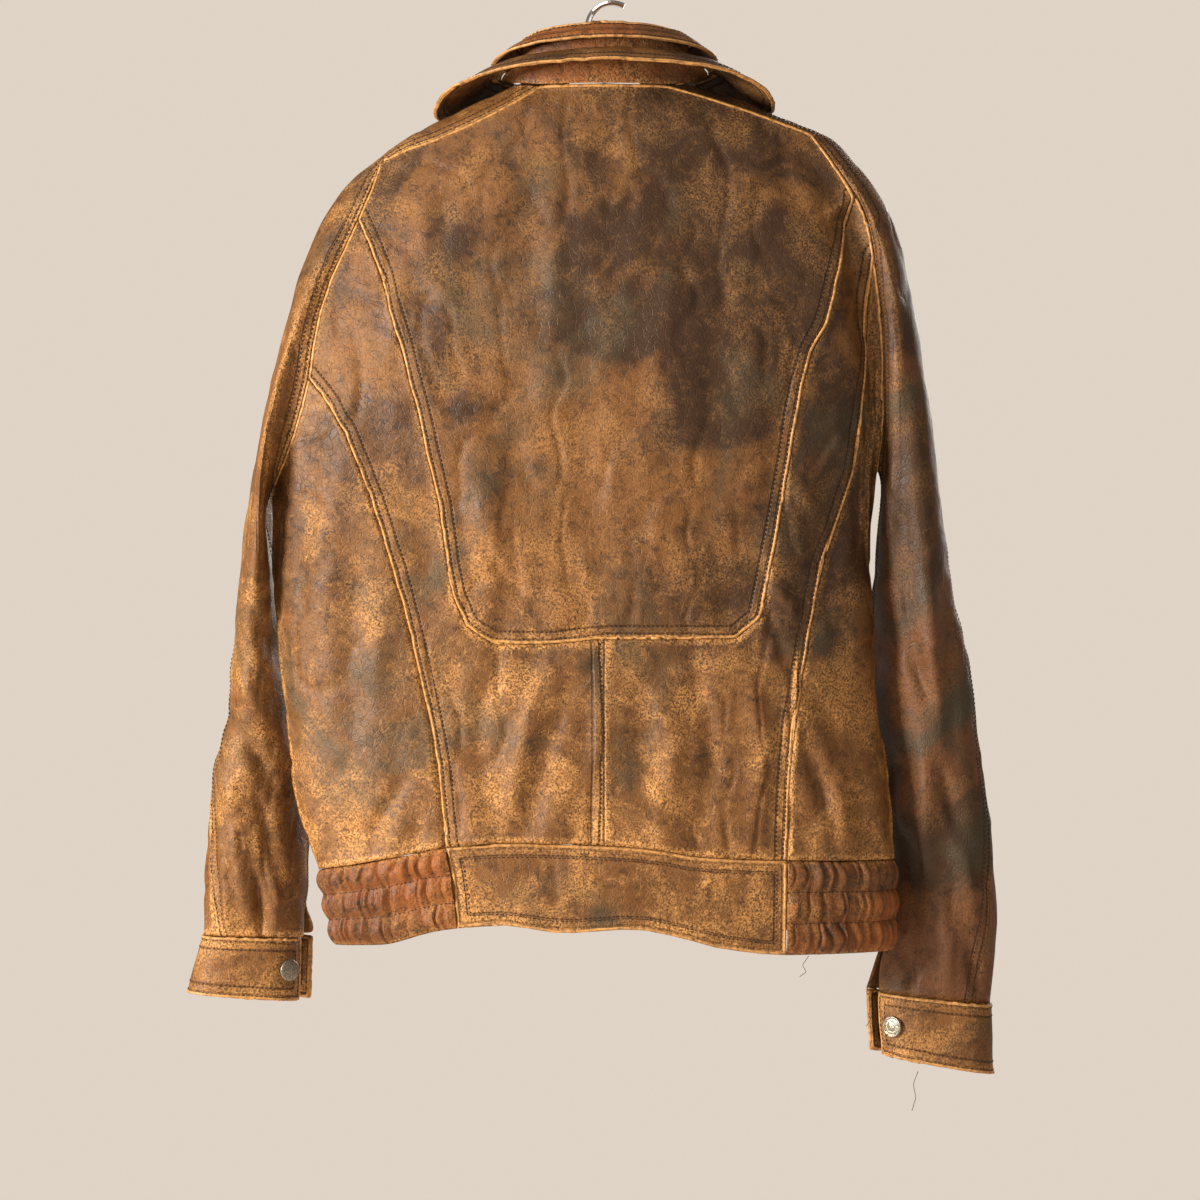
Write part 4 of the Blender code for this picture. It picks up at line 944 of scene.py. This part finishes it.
class JACKET_OT_stitches(bpy.types.Operator):
    """Topstitch rows along the seams, the rows across the elastic, and the loose threads"""
    bl_idname = "jacket.stitches"
    bl_label = "Stitches"

    def execute(self, context):
        settings = context.scene.jacket
        thick = settings.thread / MM
        points, faces = [], []

        def sew(chains):
            for chain in chains:
                for place, normal, ahead in along(chain, settings.stitch_pitch / MM):
                    add_stitch(points, faces, place + normal * thick * 0.15, normal, ahead,
                               settings.stitch_length / MM, thick)

        for node, others, rows in STITCHED:
            seam = Garment.seam(node, others)
            if len(seam) == 0:
                continue
            field = distances(points_of(Garment.shells[node].data) / MM, seam)
            for row in rows:
                sew(level_lines(node, field, row))
        for node in ELASTICS:
            share = around_hem(node, points_of(Garment.shells[node].data) / MM)[1]
            for level in (1 / 3, 2 / 3):
                sew(level_lines(node, share, level))
        for line in LOOSE_THREADS:
            line = np.array(line, float)
            at = np.linspace(0, len(line) - 1, 14)
            smooth = np.stack([np.interp(at, range(len(line)), line[:, k]) for k in range(3)], axis=1)
            add_tube(points, faces, smooth, np.tile([0.0, 1.0, 0.0], (len(smooth), 1)), 0.25, 5)
        thread = plain("Sewing thread", settings.thread_colour, 0.75, 0.0, 2000.0, 0.4)
        build_mesh("stitches", points, faces, thread)
        return {"FINISHED"}


class JACKET_OT_snaps(bpy.types.Operator):
    """Snap caps and studs with their rolled rims and ring relief"""
    bl_idname = "jacket.snaps"
    bl_label = "Snaps"

    def execute(self, context):
        metal = plain("Aged snap metal", (0.42, 0.37, 0.3), 0.34, 1.0, 900.0, 0.75, 0.0003)
        for node in sorted(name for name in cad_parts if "snap" in name):
            points = points_of(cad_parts[node].data) / MM
            self.turned(node, points, metal)
        return {"FINISHED"}

    def turned(self, node, points, metal):
        """A turned disc where the solid lies: flat back, rolled rim, sunk ring and domed middle."""
        points = np.unique(points.round(3), axis=0)
        middle = points.mean(axis=0)
        axes = np.linalg.svd(points - middle)[2]
        normal = axes[2]
        ends = (points - middle) @ normal
        spread = np.linalg.norm(points - middle - np.outer(ends, normal), axis=1)
        if spread[ends > 0].max() > spread[ends < 0].max():
            normal = -normal
            ends = -ends
        radius, low, high = spread.max(), ends.min(), ends.max()
        tall = high - low
        across = axes[0]
        up = np.cross(normal, across)
        made, faces = [], []
        for r, h in SNAP_PROFILE:
            for k in range(SNAP_SIDES):
                turn = 2 * math.pi * k / SNAP_SIDES
                rise = h + (0.05 * math.cos(turn * BEADS) if r == BEADED else 0)
                made.append(middle + normal * (low + tall * rise)
                            + (across * math.cos(turn) + up * math.sin(turn)) * radius * r)
        last = (len(SNAP_PROFILE) - 1) * SNAP_SIDES
        for ring in range(0, last, SNAP_SIDES):
            for k in range(SNAP_SIDES):
                n = (k + 1) % SNAP_SIDES
                faces.append((ring + k, ring + n, ring + SNAP_SIDES + n, ring + SNAP_SIDES + k))
        faces.append(tuple(range(SNAP_SIDES)))
        faces.append(tuple(last + k for k in range(SNAP_SIDES)))
        piece = build_mesh(node + "_turned", made, faces, metal)
        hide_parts(node)


class JACKET_OT_hanger(bpy.types.Operator):
    """Finishes of the hanger bar and its wire hook"""
    bl_idname = "jacket.hanger"
    bl_label = "Hanger"

    def execute(self, context):
        bar = plain("Hanger plastic", (0.05, 0.038, 0.03), 0.5, 0.0, 500.0, 0.3)
        chrome = plain("Hook chrome", (0.62, 0.62, 0.62), 0.13, 1.0, 400.0, 0.15, 0.00002)
        for node, material in (("hanger", bar), ("hanger_hook", chrome)):
            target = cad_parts[node]
            target.data.materials.clear()
            target.data.materials.append(material)
        return {"FINISHED"}


class JACKET_OT_stage(bpy.types.Operator):
    """Pale floor, soft studio lights and the camera"""
    bl_idname = "jacket.stage"
    bl_label = "Stage"

    def execute(self, context):
        settings = context.scene.jacket
        bpy.ops.mesh.primitive_circle_add(vertices=64, radius=FLOOR_RADIUS, fill_type="NGON",
                                          location=(0, 0, FLOOR_Z))
        floor = context.object
        floor.name = "floor"
        floor.data.materials.append(plain("Pale floor", settings.backdrop, 0.9, 0.0, 6.0, 0.04))
        world = bpy.data.worlds.new("Studio")
        context.scene.world = world
        world.use_nodes = True
        tree = world.node_tree
        glow = tree.nodes["Background"]
        seen = put(tree, "ShaderNodeBackground")
        for node, strength in ((glow, WORLD_LIGHT), (seen, WORLD_SEEN)):
            node.inputs["Color"].default_value = (*settings.backdrop, 1)
            node.inputs["Strength"].default_value = strength
        rays = put(tree, "ShaderNodeLightPath")
        both = put(tree, "ShaderNodeMixShader")
        for socket, value in enumerate((rays.outputs["Is Camera Ray"], glow.outputs[0], seen.outputs[0])):
            tree.links.new(value, both.inputs[socket])
        tree.links.new(both.outputs[0], tree.nodes["World Output"].inputs["Surface"])
        for name, place, power, size in LIGHTS:
            bpy.ops.object.light_add(type="AREA", location=place)
            light = context.object
            light.name = name
            light.data.energy = power
            light.data.size = size
            light.data.color = LIGHT_COLOUR
            light.rotation_euler = (Vector(LIT_POINT) - Vector(place)).to_track_quat("-Z", "Y").to_euler()
        bpy.ops.object.camera_add(location=Vector(VIEW_CENTRE) + Vector((0, CAMERA_DISTANCE, 0)),
                                  rotation=(math.radians(90), 0, math.radians(180)))
        camera = context.object
        camera.data.sensor_width = SENSOR_WIDTH
        camera.data.lens = SENSOR_WIDTH * CAMERA_DISTANCE / VIEW_WIDTH
        context.scene.camera = camera
        context.scene.view_settings.view_transform = "Standard"
        return {"FINISHED"}


OPERATORS = (JACKET_OT_body, JACKET_OT_sleeves, JACKET_OT_collar, JACKET_OT_hem, JACKET_OT_piping,
             JACKET_OT_stitches, JACKET_OT_snaps, JACKET_OT_hanger, JACKET_OT_stage)


class JACKET_PT_panel(bpy.types.Panel):
    """Lists the jacket's steps"""
    bl_label = "Worn Leather Jacket"
    bl_idname = "JACKET_PT_panel"
    bl_space_type = "VIEW_3D"
    bl_region_type = "UI"
    bl_category = "Jacket"

    def draw(self, context):
        for operator in OPERATORS:
            self.layout.operator(operator.bl_idname)


def register():
    bpy.utils.register_class(JacketSettings)
    for operator in OPERATORS:
        bpy.utils.register_class(operator)
    bpy.utils.register_class(JACKET_PT_panel)
    bpy.types.Scene.jacket = PointerProperty(type=JacketSettings)


def unregister():
    del bpy.types.Scene.jacket
    bpy.utils.unregister_class(JACKET_PT_panel)
    for operator in reversed(OPERATORS):
        bpy.utils.unregister_class(operator)
    bpy.utils.unregister_class(JacketSettings)


def main():
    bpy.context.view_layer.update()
    register()
    bpy.ops.jacket.body()
    bpy.ops.jacket.sleeves()
    bpy.ops.jacket.collar()
    bpy.ops.jacket.hem()
    bpy.ops.jacket.piping()
    bpy.ops.jacket.stitches()
    bpy.ops.jacket.snaps()
    bpy.ops.jacket.hanger()
    bpy.ops.jacket.stage()


if __name__ == "__main__":
    main()
